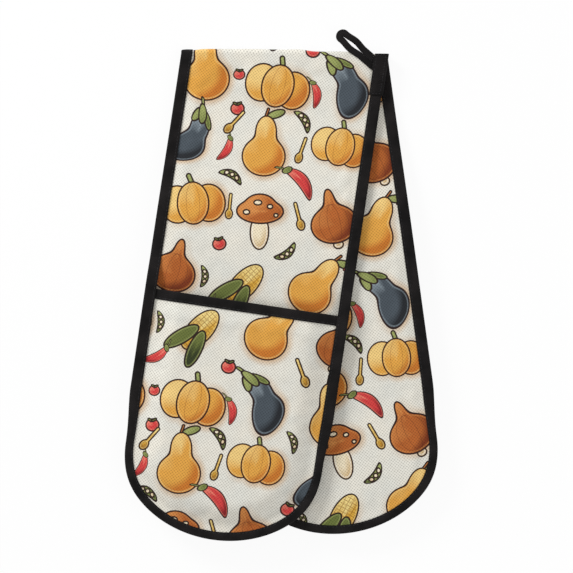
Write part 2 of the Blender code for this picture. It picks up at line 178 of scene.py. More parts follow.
# %% [markdown]
# The strip is laid out flat on a developed plane: x runs along the fold, y runs away from it, and z is the
# lift. The bight that goes round the fold takes FOLD_RUN of that length. wrap() folds a flat place into
# the world, and the solids' drape from the pocket down to the table comes with it.

# %% Fold a flat place into the world
FOLD_RUN = 0.008
SHOULDER_DRAW = 0.034
SHOULDER_REACH = 0.048


def drawn_in(half, along):
    """The share by which the tape draws a half in, where its straight sides turn into the round end."""
    away = (along - end_of(half)) / SHOULDER_REACH
    return SHOULDER_DRAW * max(0, 1 - away * away) ** 2


def spread(half, across, along):
    """Where a place on a half lies on the flat, unfolded strip."""
    across *= 1 - drawn_in(half, along)
    x = across * COS + half.lean * along * SIN
    away = along * COS - half.lean * across * SIN
    return x, half.out * (away + FOLD_RUN / 2)


def drape(reach):
    """Height over the fold axis of the face where the halves meet."""
    return (POCKET_TOP - BINDING_TOP) * ease((reach / COS - DRAPE_START) / (DRAPE_END - DRAPE_START))


def pinch(x):
    """How far the bight stands out, as a share of full: its sewn corners are pressed nearly flat."""
    left = between(0.66, 0.85, ease((x + 0.095) / 0.035))
    right = between(0.85, 0.50, ease((x - 0.010) / 0.020)) - 0.38 * ease((x - 0.052) / 0.020)
    return min(left, right)


def wrap(flat):
    """Fold a flat place and its lift into the world."""
    x, y, lift = flat
    if abs(y) < FOLD_RUN / 2:
        angle = math.pi * (y / FOLD_RUN + 0.5)
        return FOLD + Vector((x, pinch(x) * lift * math.sin(angle), -lift * math.cos(angle)))
    reach = abs(y) - FOLD_RUN / 2
    height = drape(reach) + math.copysign(1, y) * lift
    return FOLD + Vector((x, -reach, max(height, -FOLD.z)))


def end_reach(inset):
    """How far the rounded end reaches at an inset: a steady border first, then down to nothing."""
    border = min(inset, FIELD_INSET)
    left = (END_DEPTH - FIELD_INSET) * (inset - border) / (STRIP_WIDTH / 2 - FIELD_INSET)
    return END_DEPTH - border - left


def inset_at(half, across, along):
    """Distance in from the half's edge, negative outside it."""
    side = STRIP_WIDTH / 2 - abs(across)
    past = along - end_of(half)
    if past <= 0 or side <= 0:
        return side
    if math.hypot(across * 2 / STRIP_WIDTH, past / END_DEPTH) >= 1:
        return (1 - math.hypot(across * 2 / STRIP_WIDTH, past / END_DEPTH)) * END_DEPTH
    low, high = 0, STRIP_WIDTH / 2
    for _ in range(18):
        middle = (low + high) / 2
        wide, deep = STRIP_WIDTH / 2 - middle + GAP / 100, end_reach(middle) + GAP / 100
        if math.hypot(across / wide, past / deep) < 1:
            low = middle
        else:
            high = middle
    return low


def under_other_half(half, x, y):
    """How far a flat place on a half lies inside the other half's outline, negative outside it."""
    other = BACK if half is FRONT else FRONT
    away = abs(y) - FOLD_RUN / 2
    across = x * COS - other.lean * away * SIN
    along = away * COS + other.lean * x * SIN
    return inset_at(other, across, along)


corner = wrap((*spread(FRONT, 0, FRONT.length), 0))
print("front half's tip at", [round(value, 4) for value in corner])

# %% [markdown]
# A grid gives even quads for the cloth. Its rows run square to the strip, turn parallel to the fold near
# it, and are pressed into a half ellipse at the round ends, so no cell is cut and no pole is needed.

# %% Lay a grid on the flat strip
CELL = 0.0040
COLUMNS = round(STRIP_WIDTH / CELL)
END_ROWS = 19
SKEW_FADE = 0.150


def skewed(half, across, along):
    """A row near the fold lies parallel to it, and further down it lies square to the strip."""
    return along + half.lean * across * TAN * (1 - ease(along / SKEW_FADE))


def straight_row(half, along):
    half_width = STRIP_WIDTH / 2 - EDGE_INSET
    return lambda side: (half, side * half_width, skewed(half, side * half_width, along))


def end_row(half, share):
    """A row of the round end, where a square patch is pressed into half an ellipse."""
    half_width, depth = STRIP_WIDTH / 2 - EDGE_INSET, END_DEPTH - EDGE_INSET
    return lambda side: (
        half,
        side * half_width * math.sqrt(1 - share * share / 2),
        end_of(half) + share * depth * math.sqrt(1 - side * side / 2),
    )


def bight_row(share):
    return lambda side: (None, side * (STRIP_WIDTH / 2 - EDGE_INSET), share)


def half_rows(half, start):
    count = round((end_of(half) - start) / CELL)
    rows = [straight_row(half, between(start, end_of(half), step / count)) for step in range(count + 1)]
    return rows + [end_row(half, step / END_ROWS) for step in range(1, END_ROWS + 1)]


BIGHT_ROWS = 12
STRIP_ROWS = half_rows(BACK, 0)[::-1]
STRIP_ROWS += [bight_row(step / BIGHT_ROWS) for step in range(1, BIGHT_ROWS)]
STRIP_ROWS += half_rows(FRONT, 0)


def grid_spots(rows):
    """For each point of the grid: the half it is on, across, along, inset, and its flat x and y."""
    spots = []
    for row in rows:
        for column in range(COLUMNS + 1):
            half, across, along = row(2 * column / COLUMNS - 1)
            if half:
                inset = inset_at(half, across, along)
                spots.append((half, across, along, inset, *spread(half, across, along)))
            else:
                inset = STRIP_WIDTH / 2 - abs(across)
                spots.append((half, across, along, inset, across / COS, FOLD_RUN * (along - 0.5)))
    return spots


STRIP_SPOTS = grid_spots(STRIP_ROWS)
print("strip grid", len(STRIP_ROWS), "rows of", COLUMNS + 1, "points")

# %% [markdown]
# Colours are written as the sRGB hex values that a swatch book gives, and the shader wants linear light,
# so one function turns them round. One more function adds a node, sets its options and fills its inputs
# with values or links, which keeps every material below readable from top to bottom. New materials and new
# objects start the same way each time, so each has its function too.

# %% Colour, node and object helpers
def linear(swatch):
    channels = [int(swatch[index:index + 2], 16) / 255 for index in (1, 3, 5)]
    return tuple(c / 12.92 if c <= 0.04045 else ((c + 0.055) / 1.055) ** 2.4 for c in channels) + (1,)


def add(tree, kind, inputs=None, **options):
    """Add a node, set its options, and give each named input a value or a link."""
    made = tree.nodes.new(kind)
    for name, value in options.items():
        setattr(made, name, value)
    for name, value in (inputs or {}).items():
        socket = made.inputs[name]
        if isinstance(value, bpy.types.NodeSocket):
            tree.links.new(value, socket)
        else:
            socket.default_value = value
    return made


def new_material(name):
    made = bpy.data.materials.new(name)
    made.use_nodes = True
    made.node_tree.nodes.clear()
    return made


def new_object(name, bm):
    """Turn a bmesh into a named object in the scene, and free it."""
    mesh = bpy.data.meshes.new(name)
    bm.to_mesh(mesh)
    bm.free()
    made = bpy.data.objects.new(name, mesh)
    bpy.context.collection.objects.link(made)
    return made


print("cream cloth in linear light", [round(value, 3) for value in linear("#e6e3d8")])

# %% [markdown]
# The print is drawn from distances: for every spot of the cloth, nodes work out how far it lies outside a
# shape, in millimetres. Ovals and rounded bars, joined softly, give every fruit and vegetable here, and the
# same distance then places the outline, the light rim and the soft shade beside it.

# %% Shapes for the print
def oval(tree, point, centre, radii, turn=0):
    """Distance outside an oval, from its two radii."""
    unit = add(tree, "ShaderNodeMapping", {
        "Vector": point, "Location": (*centre, 0), "Rotation": (0, 0, turn), "Scale": (*radii, 1),
    }, vector_type="TEXTURE").outputs["Vector"]
    steep = add(tree, "ShaderNodeVectorMath", {0: unit, 1: (*radii, 1)}, operation="DIVIDE")
    near = add(tree, "ShaderNodeVectorMath", {0: unit}, operation="LENGTH").outputs["Value"]
    steep = steep.outputs["Vector"]
    slope = add(tree, "ShaderNodeVectorMath", {0: steep}, operation="LENGTH").outputs["Value"]
    past = add(tree, "ShaderNodeMath", {0: near, 1: 1.0}, operation="SUBTRACT").outputs["Value"]
    scaled = add(tree, "ShaderNodeMath", {0: past, 1: near}, operation="MULTIPLY").outputs["Value"]
    return add(tree, "ShaderNodeMath", {0: scaled, 1: slope}, operation="DIVIDE").outputs["Value"]


def bar(tree, point, centre, half_length, radius, turn=0):
    """Distance outside a bar with round ends that stands upright until it is turned."""
    local = add(tree, "ShaderNodeMapping", {
        "Vector": point, "Location": (*centre, 0), "Rotation": (0, 0, turn),
    }, vector_type="TEXTURE").outputs["Vector"]
    folded = add(tree, "ShaderNodeVectorMath", {0: local}, operation="ABSOLUTE").outputs["Vector"]
    past = add(tree, "ShaderNodeVectorMath", {0: folded, 1: (0, half_length, 0)}, operation="SUBTRACT")
    ends = add(tree, "ShaderNodeVectorMath", {0: past.outputs["Vector"], 1: (0, 0, 0)}, operation="MAXIMUM")
    ends = ends.outputs["Vector"]
    reach = add(tree, "ShaderNodeVectorMath", {0: ends}, operation="LENGTH").outputs["Value"]
    return add(tree, "ShaderNodeMath", {0: reach, 1: radius}, operation="SUBTRACT").outputs["Value"]


def joined(tree, first, second, blend):
    """The distance of two shapes run softly together."""
    inputs = {0: first, 1: second, 2: blend}
    return add(tree, "ShaderNodeMath", inputs, operation="SMOOTH_MIN").outputs["Value"]


def bent(tree, point, amount):
    """The same place on a motif that is bent sideways toward its two ends."""
    parts = add(tree, "ShaderNodeSeparateXYZ", {"Vector": point}).outputs
    inputs = {0: parts["Y"], 1: parts["Y"]}
    square = add(tree, "ShaderNodeMath", inputs, operation="MULTIPLY").outputs["Value"]
    inputs = {0: square, 1: amount, 2: parts["X"]}
    across = add(tree, "ShaderNodeMath", inputs, operation="MULTIPLY_ADD").outputs["Value"]
    return add(tree, "ShaderNodeCombineXYZ", {"X": across, "Y": parts["Y"]}).outputs["Vector"]


# %% [markdown]
# Each shape is inked as a printer would lay it: a fill that runs from shade to light, a pale rim just
# inside the edge, and a dark brown outline, all from the one distance.

# %% Ink for the print
OUTLINE = 0.6
INK_EDGE = 0.12
INK_DARK = "#2e1a16"


def set_ramp(node, stops):
    """Give a colour ramp its (place, swatch, opacity) stops."""
    ramp = node.color_ramp
    while len(ramp.elements) < len(stops):
        ramp.elements.new(0.5)
    for element, (place, swatch, opacity) in zip(ramp.elements, stops):
        element.position = place
        element.color = (*linear(swatch)[:3], opacity)
    return node


def mixed(tree, share, under, over):
    """Two colours mixed by a share."""
    made = add(tree, "ShaderNodeMix", {}, data_type="RGBA")
    for index, value in ((0, share), (6, under), (7, over)):
        if isinstance(value, bpy.types.NodeSocket):
            tree.links.new(value, made.inputs[index])
        else:
            made.inputs[index].default_value = value
    return made.outputs[2]


def inside(tree, distance, edge):
    """One inside a distance and nought outside it, with a thin soft step."""
    inputs = {"Value": distance, "From Min": edge + INK_EDGE, "From Max": edge - INK_EDGE}
    return add(tree, "ShaderNodeMapRange", inputs).outputs["Result"]


def paint(tree, below, distance, point, span, shade, base, light, rim=0.55):
    """Lay one inked shape on what is below it."""
    inputs = {0: point, 1: (-0.5 / span, 0.45 / span, 0)}
    lit = add(tree, "ShaderNodeVectorMath", inputs, operation="DOT_PRODUCT")
    inputs = {0: distance, 1: -0.5 / span, 2: lit.outputs["Value"]}
    level = add(tree, "ShaderNodeMath", inputs, operation="MULTIPLY_ADD").outputs["Value"]
    level = add(tree, "ShaderNodeMath", {0: level, 1: 0.42}, operation="ADD").outputs["Value"]
    fill = set_ramp(add(tree, "ShaderNodeValToRGB", {"Fac": level}), (
        (0.08, shade, 1), (0.38, base, 1), (0.68, base, 1), (0.98, light, 1),
    ))
    inputs = {"Value": distance, "From Min": -2.6, "From Max": 0.0}
    place = add(tree, "ShaderNodeMapRange", inputs).outputs["Result"]
    edge = set_ramp(add(tree, "ShaderNodeValToRGB", {"Fac": place}), (
        (0.10, light, 0), (0.38, light, rim), (0.56, light, rim), (0.68, shade, 0.4), (0.80, INK_DARK, 1),
    ))
    inked = mixed(tree, edge.outputs["Alpha"], fill.outputs["Color"], edge.outputs["Color"])
    return mixed(tree, inside(tree, distance, OUTLINE), below, inked)


def trace(tree, below, distance, width, strength, swatch=INK_DARK):
    """A thin drawn line along a shape's edge, without a fill."""
    away = add(tree, "ShaderNodeMath", {0: distance}, operation="ABSOLUTE").outputs["Value"]
    inputs = {"Value": away, "From Min": width / 2, "From Max": width, "To Min": strength, "To Max": 0.0}
    line = add(tree, "ShaderNodeMapRange", inputs).outputs["Result"]
    return mixed(tree, line, below, linear(swatch))


# %% [markdown]
# The motifs are a plain kitchen garden: pears, pumpkins, aubergines, onions, mushrooms, maize, chillies,
# tomatoes, pea pods and spoons. Each is a list of shapes, inked from the back to the front.

# %% Draw the motifs
GOLD = ("#c9772a", "#e2a447", "#f3cf83")
MUSTARD = ("#a97522", "#d9a83f", "#f2d98c")
RUST = ("#7c3514", "#b4622a", "#d98f4c")
CHARCOAL = ("#23262b", "#4a535b", "#8b979f")
RED = ("#8f1f24", "#d2403f", "#f08a74")
GREEN = ("#343c1e", "#687238", "#a2aa66")
CREAM = ("#d6b98a", "#f1e3c4", "#fffaf0")


def pear(tree, at, below):
    body = joined(tree, oval(tree, at, (0, -9), (18.5, 17)), oval(tree, at, (1, 12), (9, 14)), 9)
    below = paint(tree, below, bar(tree, at, (1, 28), 4, 1.0, -0.3), at, 20, *RUST)
    below = paint(tree, below, oval(tree, at, (9, 28), (8, 3.4), 0.35), at, 20, *GREEN)
    return body, paint(tree, below, body, at, 22, *GOLD)


def pumpkin(tree, at, below):
    middle = oval(tree, at, (0, 0), (13, 17.5))
    left = oval(tree, at, (-13, -0.5), (13.5, 15.5))
    right = oval(tree, at, (13, -0.5), (13.5, 15.5))
    whole = joined(tree, joined(tree, left, right, 1), middle, 1)
    below = paint(tree, below, bar(tree, at, (-1, 19), 4, 1.9, 0.35), at, 20, *GREEN)
    below = paint(tree, below, left, at, 24, *GOLD)
    below = paint(tree, below, right, at, 24, *GOLD)
    below = paint(tree, below, middle, at, 22, *GOLD)
    return whole, trace(tree, below, oval(tree, at, (0, 0), (5.5, 16.5)), 0.35, 0.45, "#8a4a1c")


def aubergine(tree, at, below):
    at = bent(tree, at, 0.011)
    body = joined(tree, oval(tree, at, (0, -11), (14, 16)), oval(tree, at, (0, 10), (9, 15)), 8)
    below = paint(tree, below, bar(tree, at, (0, 29), 3.5, 1.5), at, 20, *GREEN)
    below = paint(tree, below, body, at, 21, *CHARCOAL)
    below = paint(tree, below, oval(tree, at, (-5.5, 18), (3.2, 7.5), -0.5), at, 24, *GREEN)
    below = paint(tree, below, oval(tree, at, (5.5, 18), (3.2, 7.5), 0.5), at, 24, *GREEN)
    return body, paint(tree, below, oval(tree, at, (0, 21), (4, 8)), at, 24, *GREEN)


def onion(tree, at, below):
    body = joined(tree, oval(tree, at, (0, -5), (19, 15.5)), oval(tree, at, (0, 12), (4.5, 12)), 10)
    below = paint(tree, below, oval(tree, at, (0, -22), (4, 3.2)), at, 24, *CREAM)
    below = paint(tree, below, body, at, 22, *RUST)
    below = trace(tree, below, oval(tree, at, (0, -4.5), (12, 15.6)), 0.3, 0.5, "#5a2410")
    return body, trace(tree, below, oval(tree, at, (0, -4.5), (5, 15.8)), 0.3, 0.5, "#5a2410")


def mushroom(tree, at, below):
    cap = joined(tree, oval(tree, at, (0, 8), (19, 10)), oval(tree, at, (0, 12), (13, 10)), 3)
    below = paint(tree, below, oval(tree, at, (0, -9), (7.5, 14)), at, 24, *CREAM)
    below = paint(tree, below, cap, at, 22, *RUST)
    spots = (-11, 7, 2.6, 1.9), (-2, 15, 3.2, 2.0), (8, 12, 2.2, 1.7), (13, 5, 1.7, 1.5)
    for x, y, width, height in spots:
        below = paint(tree, below, oval(tree, at, (x, y), (width, height)), at, 30, *CREAM, rim=0)
    return cap, below


def maize(tree, at, below):
    body = oval(tree, at, (0, 5), (10.5, 21))
    below = paint(tree, below, body, at, 22, *MUSTARD)
    rows = add(tree, "ShaderNodeTexVoronoi", {
        "Vector": at, "Scale": 1 / 3.4, "Randomness": 0.0,
    }, feature="DISTANCE_TO_EDGE").outputs["Distance"]
    seams = add(tree, "ShaderNodeMapRange", {
        "Value": rows, "From Min": 0.04, "From Max": 0.16, "To Min": 0.6, "To Max": 0.0,
    }).outputs["Result"]
    core = add(tree, "ShaderNodeMath", {0: seams, 1: inside(tree, body, -1.5)}, operation="MULTIPLY")
    below = mixed(tree, core.outputs["Value"], below, linear("#8f5a18"))
    below = paint(tree, below, oval(tree, at, (-8, -10), (6, 17), -0.3), at, 26, *GREEN)
    return body, paint(tree, below, oval(tree, at, (8, -10), (6, 17), 0.3), at, 26, *GREEN)


def chilli(tree, at, below):
    at = bent(tree, at, 0.013)
    body = oval(tree, at, (0, -3), (7.2, 23))
    below = paint(tree, below, bar(tree, at, (0, 26), 4, 1.2), at, 20, *GREEN)
    below = paint(tree, below, body, at, 20, *RED)
    return body, paint(tree, below, oval(tree, at, (0, 18.5), (5.6, 4.2)), at, 30, *GREEN)


def tomato(tree, at, below):
    body = oval(tree, at, (0, 0), (6.2, 5.6))
    below = paint(tree, below, body, at, 8, *RED)
    below = paint(tree, below, oval(tree, at, (-1.6, 4.6), (2.6, 1.1), -0.5), at, 12, *GREEN, rim=0)
    return body, paint(tree, below, oval(tree, at, (1.8, 4.6), (2.6, 1.1), 0.5), at, 12, *GREEN, rim=0)


def pod(tree, at, below):
    at = bent(tree, at, 0.03)
    body = oval(tree, at, (0, 0), (3.4, 11))
    below = paint(tree, below, body, at, 9, *GREEN)
    for step in (-5, 0, 5):
        below = paint(tree, below, oval(tree, at, (0, step), (1.9, 1.9)), at, 9, *CREAM, rim=0)
    return body, below


def spoon(tree, at, below):
    body = joined(tree, bar(tree, at, (0, 4), 8, 1.5), oval(tree, at, (0, -8), (3.8, 5.2)), 1.5)
    below = paint(tree, below, body, at, 9, *MUSTARD)
    return body, trace(tree, below, oval(tree, at, (0, -8), (2.0, 3.2)), 0.3, 0.5, "#7a4a14")


# %% [markdown]
# Every motif becomes a node group of its own, because a small tree is quick to build and easy to read. A
# group takes a place and the colour under it, and gives back the inked colour and the body's distance.

# %% Keep each motif in a group
def motif_group(motif):
    tree = bpy.data.node_groups.new(motif.__name__, "ShaderNodeTree")
    tree.interface.new_socket("Place", in_out="INPUT", socket_type="NodeSocketVector")
    tree.interface.new_socket("Under", in_out="INPUT", socket_type="NodeSocketColor")
    tree.interface.new_socket("Over", in_out="OUTPUT", socket_type="NodeSocketColor")
    tree.interface.new_socket("Distance", in_out="OUTPUT", socket_type="NodeSocketFloat")
    given = add(tree, "NodeGroupInput").outputs
    body, painted = motif(tree, given["Place"], given["Under"])
    add(tree, "NodeGroupOutput", {"Over": painted, "Distance": body})
    return tree


LARGE = [motif_group(motif) for motif in (pear, pumpkin, aubergine, onion, mushroom, maize)]
SMALL = [motif_group(motif) for motif in (chilli, tomato, pod, spoon)]
print("motif groups of", [len(group.nodes) for group in LARGE + SMALL], "nodes")

# %% [markdown]
# The print repeats, as a roller print does. Each motif is placed by its centre in the repeat, its turn and
# its size, and it is drawn once for the nearest of its places, which keeps the node tree small.

# %% Lay out the repeat
REPEAT = (186.0, 240.0)
LARGE_PLACES = (
    ((27, 33, 0.25, 1.08), (151, 99, -0.5, 1.04), (88, 213, 0.1, 1.02)),
    ((92, 27, -0.12, 1.08), (34, 154, 0.2, 1.06), (154, 222, -0.1, 0.96)),
    ((154, 38, 0.5, 1.06), (27, 212, -0.4, 0.98)),
    ((26, 96, -0.15, 1.06), (157, 159, 0.35, 1.08)),
    ((94, 147, 0.12, 1.08),),
    ((86, 86, -0.6, 1.02),),
)
SMALL_PLACES = (
    (
        (124, 189, 0.9, 0.74), (56, 62, -0.9, 0.55), (183, 126, -0.4, 0.55),
        (127, 26, 0.3, 0.5), (57, 206, -0.3, 0.5),
    ),
    (
        (118, 62, 0, 1.0), (62, 122, 0.3, 0.95), (1, 186, -0.3, 1.0),
        (60, 2, 0.2, 0.95), (57, 32, 0.1, 0.8),
    ),
    (
        (120, 1, 0.7, 1.0), (122, 122, -0.8, 1.0), (64, 184, 1.2, 1.0),
        (184, 6, 0.4, 0.9), (54, 92, 0.1, 0.85),
    ),
    (
        (59, 230, -0.6, 0.95), (182, 66, 0.5, 1.0), (127, 156, 0.4, 0.95),
        (121, 214, -0.2, 0.9), (66, 156, 0.05, 0.85),
    ),
)


def nearest_place(tree, cloth, places):
    """The cloth's place as seen from the nearest centre of a motif, turned and sized as that motif is."""
    nearest = nearest_reach = None
    for x, y, turn, size in places:
        moved = add(tree, "ShaderNodeVectorMath", {0: cloth, 1: (x, y, 0)}, operation="SUBTRACT")
        wrapped = add(tree, "ShaderNodeVectorMath", {
            0: moved.outputs["Vector"],
            1: (REPEAT[0] / 2, REPEAT[1] / 2, 1),
            2: (-REPEAT[0] / 2, -REPEAT[1] / 2, -1),
        }, operation="WRAP").outputs["Vector"]
        turned = add(tree, "ShaderNodeMapping", {
            "Vector": wrapped, "Rotation": (0, 0, turn), "Scale": (size, size, 1),
        }, vector_type="TEXTURE").outputs["Vector"]
        reach = add(tree, "ShaderNodeVectorMath", {0: turned}, operation="LENGTH").outputs["Value"]
        if nearest is None:
            nearest, nearest_reach = turned, reach
            continue
        inputs = {0: reach, 1: nearest_reach}
        closer = add(tree, "ShaderNodeMath", inputs, operation="LESS_THAN").outputs["Value"]
        chosen = add(tree, "ShaderNodeMix", {"Factor": closer}, data_type="VECTOR")
        tree.links.new(nearest, chosen.inputs[4])
        tree.links.new(turned, chosen.inputs[5])
        nearest = chosen.outputs[1]
        nearest_reach = add(tree, "ShaderNodeMath", inputs, operation="MINIMUM").outputs["Value"]
    return nearest


print("print repeats every", REPEAT, "mm with", sum(map(len, LARGE_PLACES + SMALL_PLACES)), "motifs")

# %% [markdown]
# The cloth is plain-woven cotton canvas, which looks matt and a little uneven. Its threads are half a
# millimetre apart, too fine for the picture, so the weave is drawn as coarse as the photograph's own
# grain: small darker dips two millimetres apart on the bias.

# %% Printed cotton canvas
WEAVE_PITCH = 2.0
SHADE_REACH = 7.0


def printed_canvas():
    made = new_material("printed_cotton_canvas")
    tree = made.node_tree
    uv = add(tree, "ShaderNodeUVMap", uv_map="flat_cloth").outputs["UV"]
    cloth = add(tree, "ShaderNodeMapping", {"Vector": uv, "Scale": (1000, 1000, 1)}).outputs["Vector"]
    inputs = {"Vector": cloth, "Scale": 1 / 30, "Detail": 2.0}
    patchy = add(tree, "ShaderNodeTexNoise", inputs).outputs["Fac"]
    inputs = {"Value": patchy, "From Min": 0.3, "From Max": 0.7}
    warm = add(tree, "ShaderNodeMapRange", inputs).outputs["Result"]
    colour = mixed(tree, warm, linear("#e3e2d9"), linear("#ece7da"))
    drawn = []
    shade = 0.0
    for group, places in zip(LARGE + SMALL, LARGE_PLACES + SMALL_PLACES):
        at = nearest_place(tree, cloth, places)
        drawn.append((group, at))
        if group in LARGE:
            body = add(tree, "ShaderNodeGroup", node_tree=group)
            tree.links.new(at, body.inputs["Place"])
            inputs = {
                "Value": body.outputs["Distance"],
                "From Min": 0.0,
                "From Max": SHADE_REACH,
                "To Min": 1.0,
                "To Max": 0.0,
            }
            glow = add(tree, "ShaderNodeMapRange", inputs, interpolation_type="SMOOTHSTEP").outputs["Result"]
            lower = add(tree, "ShaderNodeVectorMath", {0: at, 1: (0.03, -0.022, 0)}, operation="DOT_PRODUCT")
            inputs = {"Value": lower.outputs["Value"], "From Min": -0.6, "From Max": 0.6}
            side = add(tree, "ShaderNodeMapRange", inputs).outputs["Result"]
            glow = add(tree, "ShaderNodeMath", {0: glow, 1: side}, operation="MULTIPLY").outputs["Value"]
            shade = add(tree, "ShaderNodeMath", {0: glow, 1: shade}, operation="MAXIMUM").outputs["Value"]
    faint = add(tree, "ShaderNodeMath", {0: shade, 1: 0.65}, operation="MULTIPLY").outputs["Value"]
    colour = mixed(tree, faint, colour, linear("#cda069"))
    for group, at in drawn:
        inked = add(tree, "ShaderNodeGroup", node_tree=group)
        tree.links.new(at, inked.inputs["Place"])
        tree.links.new(colour, inked.inputs["Under"])
        colour = inked.outputs["Over"]
    bias = add(tree, "ShaderNodeMapping", {
        "Vector": cloth,
        "Rotation": (0, 0, math.radians(45)),
        "Scale": (1 / WEAVE_PITCH, 1 / WEAVE_PITCH, 1),
    }).outputs["Vector"]
    dips = add(tree, "ShaderNodeTexVoronoi", {"Vector": bias, "Scale": 1.0, "Randomness": 0.0})
    inputs = {"Value": dips.outputs["Distance"], "From Min": 0.10, "From Max": 0.42}
    raised = add(tree, "ShaderNodeMapRange", inputs).outputs["Result"]
    slub = add(tree, "ShaderNodeTexNoise", {"Vector": cloth, "Scale": 1 / 2.5, "Detail": 3.0}).outputs["Fac"]
    inputs = {"Value": slub, "From Min": 0.3, "From Max": 0.7, "To Min": 0.94, "To Max": 1.04}
    uneven_ink = add(tree, "ShaderNodeMapRange", inputs).outputs["Result"]
    inputs = {"Value": raised, "To Min": 0.60, "To Max": 1.07}
    dark = add(tree, "ShaderNodeMapRange", inputs).outputs["Result"]
    tint = add(tree, "ShaderNodeMath", {0: dark, 1: uneven_ink}, operation="MULTIPLY").outputs["Value"]
    colour = add(tree, "ShaderNodeVectorMath", {0: colour}, operation="SCALE")
    tree.links.new(tint, colour.inputs["Scale"])
    relief = add(tree, "ShaderNodeMath", {0: raised, 1: slub}, operation="ADD").outputs["Value"]
    bump = add(tree, "ShaderNodeBump", {"Height": relief, "Strength": 0.35, "Distance": 0.0002})
    shader = add(tree, "ShaderNodeBsdfPrincipled", {
        "Base Color": colour.outputs["Vector"],
        "Roughness": 0.92,
        "Specular IOR Level": 0.25,
        "Sheen Weight": 0.08,
        "Sheen Roughness": 0.6,
        "Normal": bump.outputs["Normal"],
    })
    add(tree, "ShaderNodeOutputMaterial", {"Surface": shader.outputs["BSDF"]})
    print(made.name, "has", len(tree.nodes), "nodes")
    return made


PRINTED = printed_canvas()

# %% [markdown]
# Bias binding is woven cotton tape, dyed black and pressed, so it is matt with a faint grain. The loop is
# the same kind of tape in a ribbed weave. Its ribs are drawn as coarse as the picture can hold. Both run
# along the tape's own length, which its UV map gives in metres.
# Soft brighter patches laid over the grain are painted sheen, standing in for light that catches the tape's
# nap.

# %% Black tapes
def woven_tape(name, dark, light, pitch, turn, relief):
    made = new_material(name)
    tree = made.node_tree
    uv = add(tree, "ShaderNodeUVMap", uv_map="flat_cloth").outputs["UV"]
    ribs = add(tree, "ShaderNodeMapping", {
        "Vector": uv, "Rotation": (0, 0, turn), "Scale": (1000 / pitch, 1000 / pitch, 1),
    }).outputs["Vector"]
    inputs = {
        "Vector": ribs,
        "Scale": 2 / math.tau,
        "Distortion": 0.6,
        "Detail": 1.0,
        "Detail Scale": 0.5,
    }
    rib = add(tree, "ShaderNodeTexWave", inputs, wave_type="BANDS", bands_direction="X").outputs["Fac"]
    lint = add(tree, "ShaderNodeTexNoise", {"Vector": uv, "Scale": 900.0, "Detail": 3.0}).outputs["Fac"]
    # painted sheen: large soft patches where the tape reads brighter, as light catching its nap would make
    # it
    nap_sheen_noise = add(tree, "ShaderNodeTexNoise", {"Vector": uv, "Scale": 45.0, "Detail": 2.0}).outputs["Fac"]
    inputs = {0: rib, 1: lint}
    grain = add(tree, "ShaderNodeMath", inputs, operation="MULTIPLY").outputs["Value"]
    inputs = {"Value": nap_sheen_noise, "From Min": 0.35, "From Max": 0.7, "To Min": 0.3, "To Max": 2.2}
    nap_sheen_gain = add(tree, "ShaderNodeMapRange", inputs).outputs["Result"]
    share = add(tree, "ShaderNodeMath", {0: grain, 1: nap_sheen_gain}, operation="MULTIPLY", use_clamp=True)
    colour = mixed(tree, share.outputs["Value"], linear(dark), linear(light))
    height = add(tree, "ShaderNodeMath", {0: rib, 1: lint}, operation="ADD").outputs["Value"]
    bump = add(tree, "ShaderNodeBump", {"Height": height, "Strength": 0.5, "Distance": relief})
    shader = add(tree, "ShaderNodeBsdfPrincipled", {
        "Base Color": colour,
        "Roughness": 0.85,
        "Specular IOR Level": 0.14,
        "Sheen Weight": 0.05,
        "Sheen Roughness": 0.5,
        "Normal": bump.outputs["Normal"],
    })
    add(tree, "ShaderNodeOutputMaterial", {"Surface": shader.outputs["BSDF"]})
    print(name, len(tree.nodes), "nodes")
    return made


BINDING = woven_tape("black_cotton_bias_tape", "#0a0909", "#2b2727", 1.1, math.radians(45), 0.00012)
LOOP_TAPE = woven_tape("black_ribbed_loop_tape", "#090808", "#2a2727", 1.3, 0.0, 0.0002)

# %% [markdown]
# Wadding is bonded polyester fibre: white, matt and cloudy. It hardly shows, but it is what fills the pads.
# The sewing thread is spun black polyester, a little shinier than the tape, so that each stitch can be told.

# %% Wadding and thread
WADDING = new_material("bonded_polyester_wadding")
tree = WADDING.node_tree
place = add(tree, "ShaderNodeTexCoord").outputs["Object"]
fluff = add(tree, "ShaderNodeTexNoise", {"Vector": place, "Scale": 700.0, "Detail": 4.0}).outputs["Fac"]
colour = mixed(tree, fluff, linear("#dddcd6"), linear("#f6f5f1"))
bump = add(tree, "ShaderNodeBump", {"Height": fluff, "Strength": 0.6, "Distance": 0.0006})
shader = add(tree, "ShaderNodeBsdfPrincipled", {
    "Base Color": colour, "Roughness": 0.95, "Specular IOR Level": 0.2, "Normal": bump.outputs["Normal"],
})
add(tree, "ShaderNodeOutputMaterial", {"Surface": shader.outputs["BSDF"]})

THREAD = new_material("spun_black_polyester_thread")
tree = THREAD.node_tree
place = add(tree, "ShaderNodeTexCoord").outputs["Object"]
ply = add(tree, "ShaderNodeTexNoise", {"Vector": place, "Scale": 2500.0, "Detail": 1.0}).outputs["Fac"]
colour = mixed(tree, ply, linear("#1c1c1f"), linear("#3a3a40"))
shader = add(tree, "ShaderNodeBsdfPrincipled", {
    "Base Color": colour, "Roughness": 0.5, "Specular IOR Level": 0.4,
})
add(tree, "ShaderNodeOutputMaterial", {"Surface": shader.outputs["BSDF"]})
print("wadding and thread ready")

# %% [markdown]
# Tape holds the pad's edge, and the cloth beside it is a little too long, so it puckers. That is a job for
# the cloth solver: the pad is a closed cushion, pinned under its tape, with the cloth near the tape let out
# by a few per cent. What moved is capped softly afterwards, so that nothing leaves its own layer. The solver
# adds up its forces in the mesh's own order, so the mesh is sorted first, and every run puckers alike.

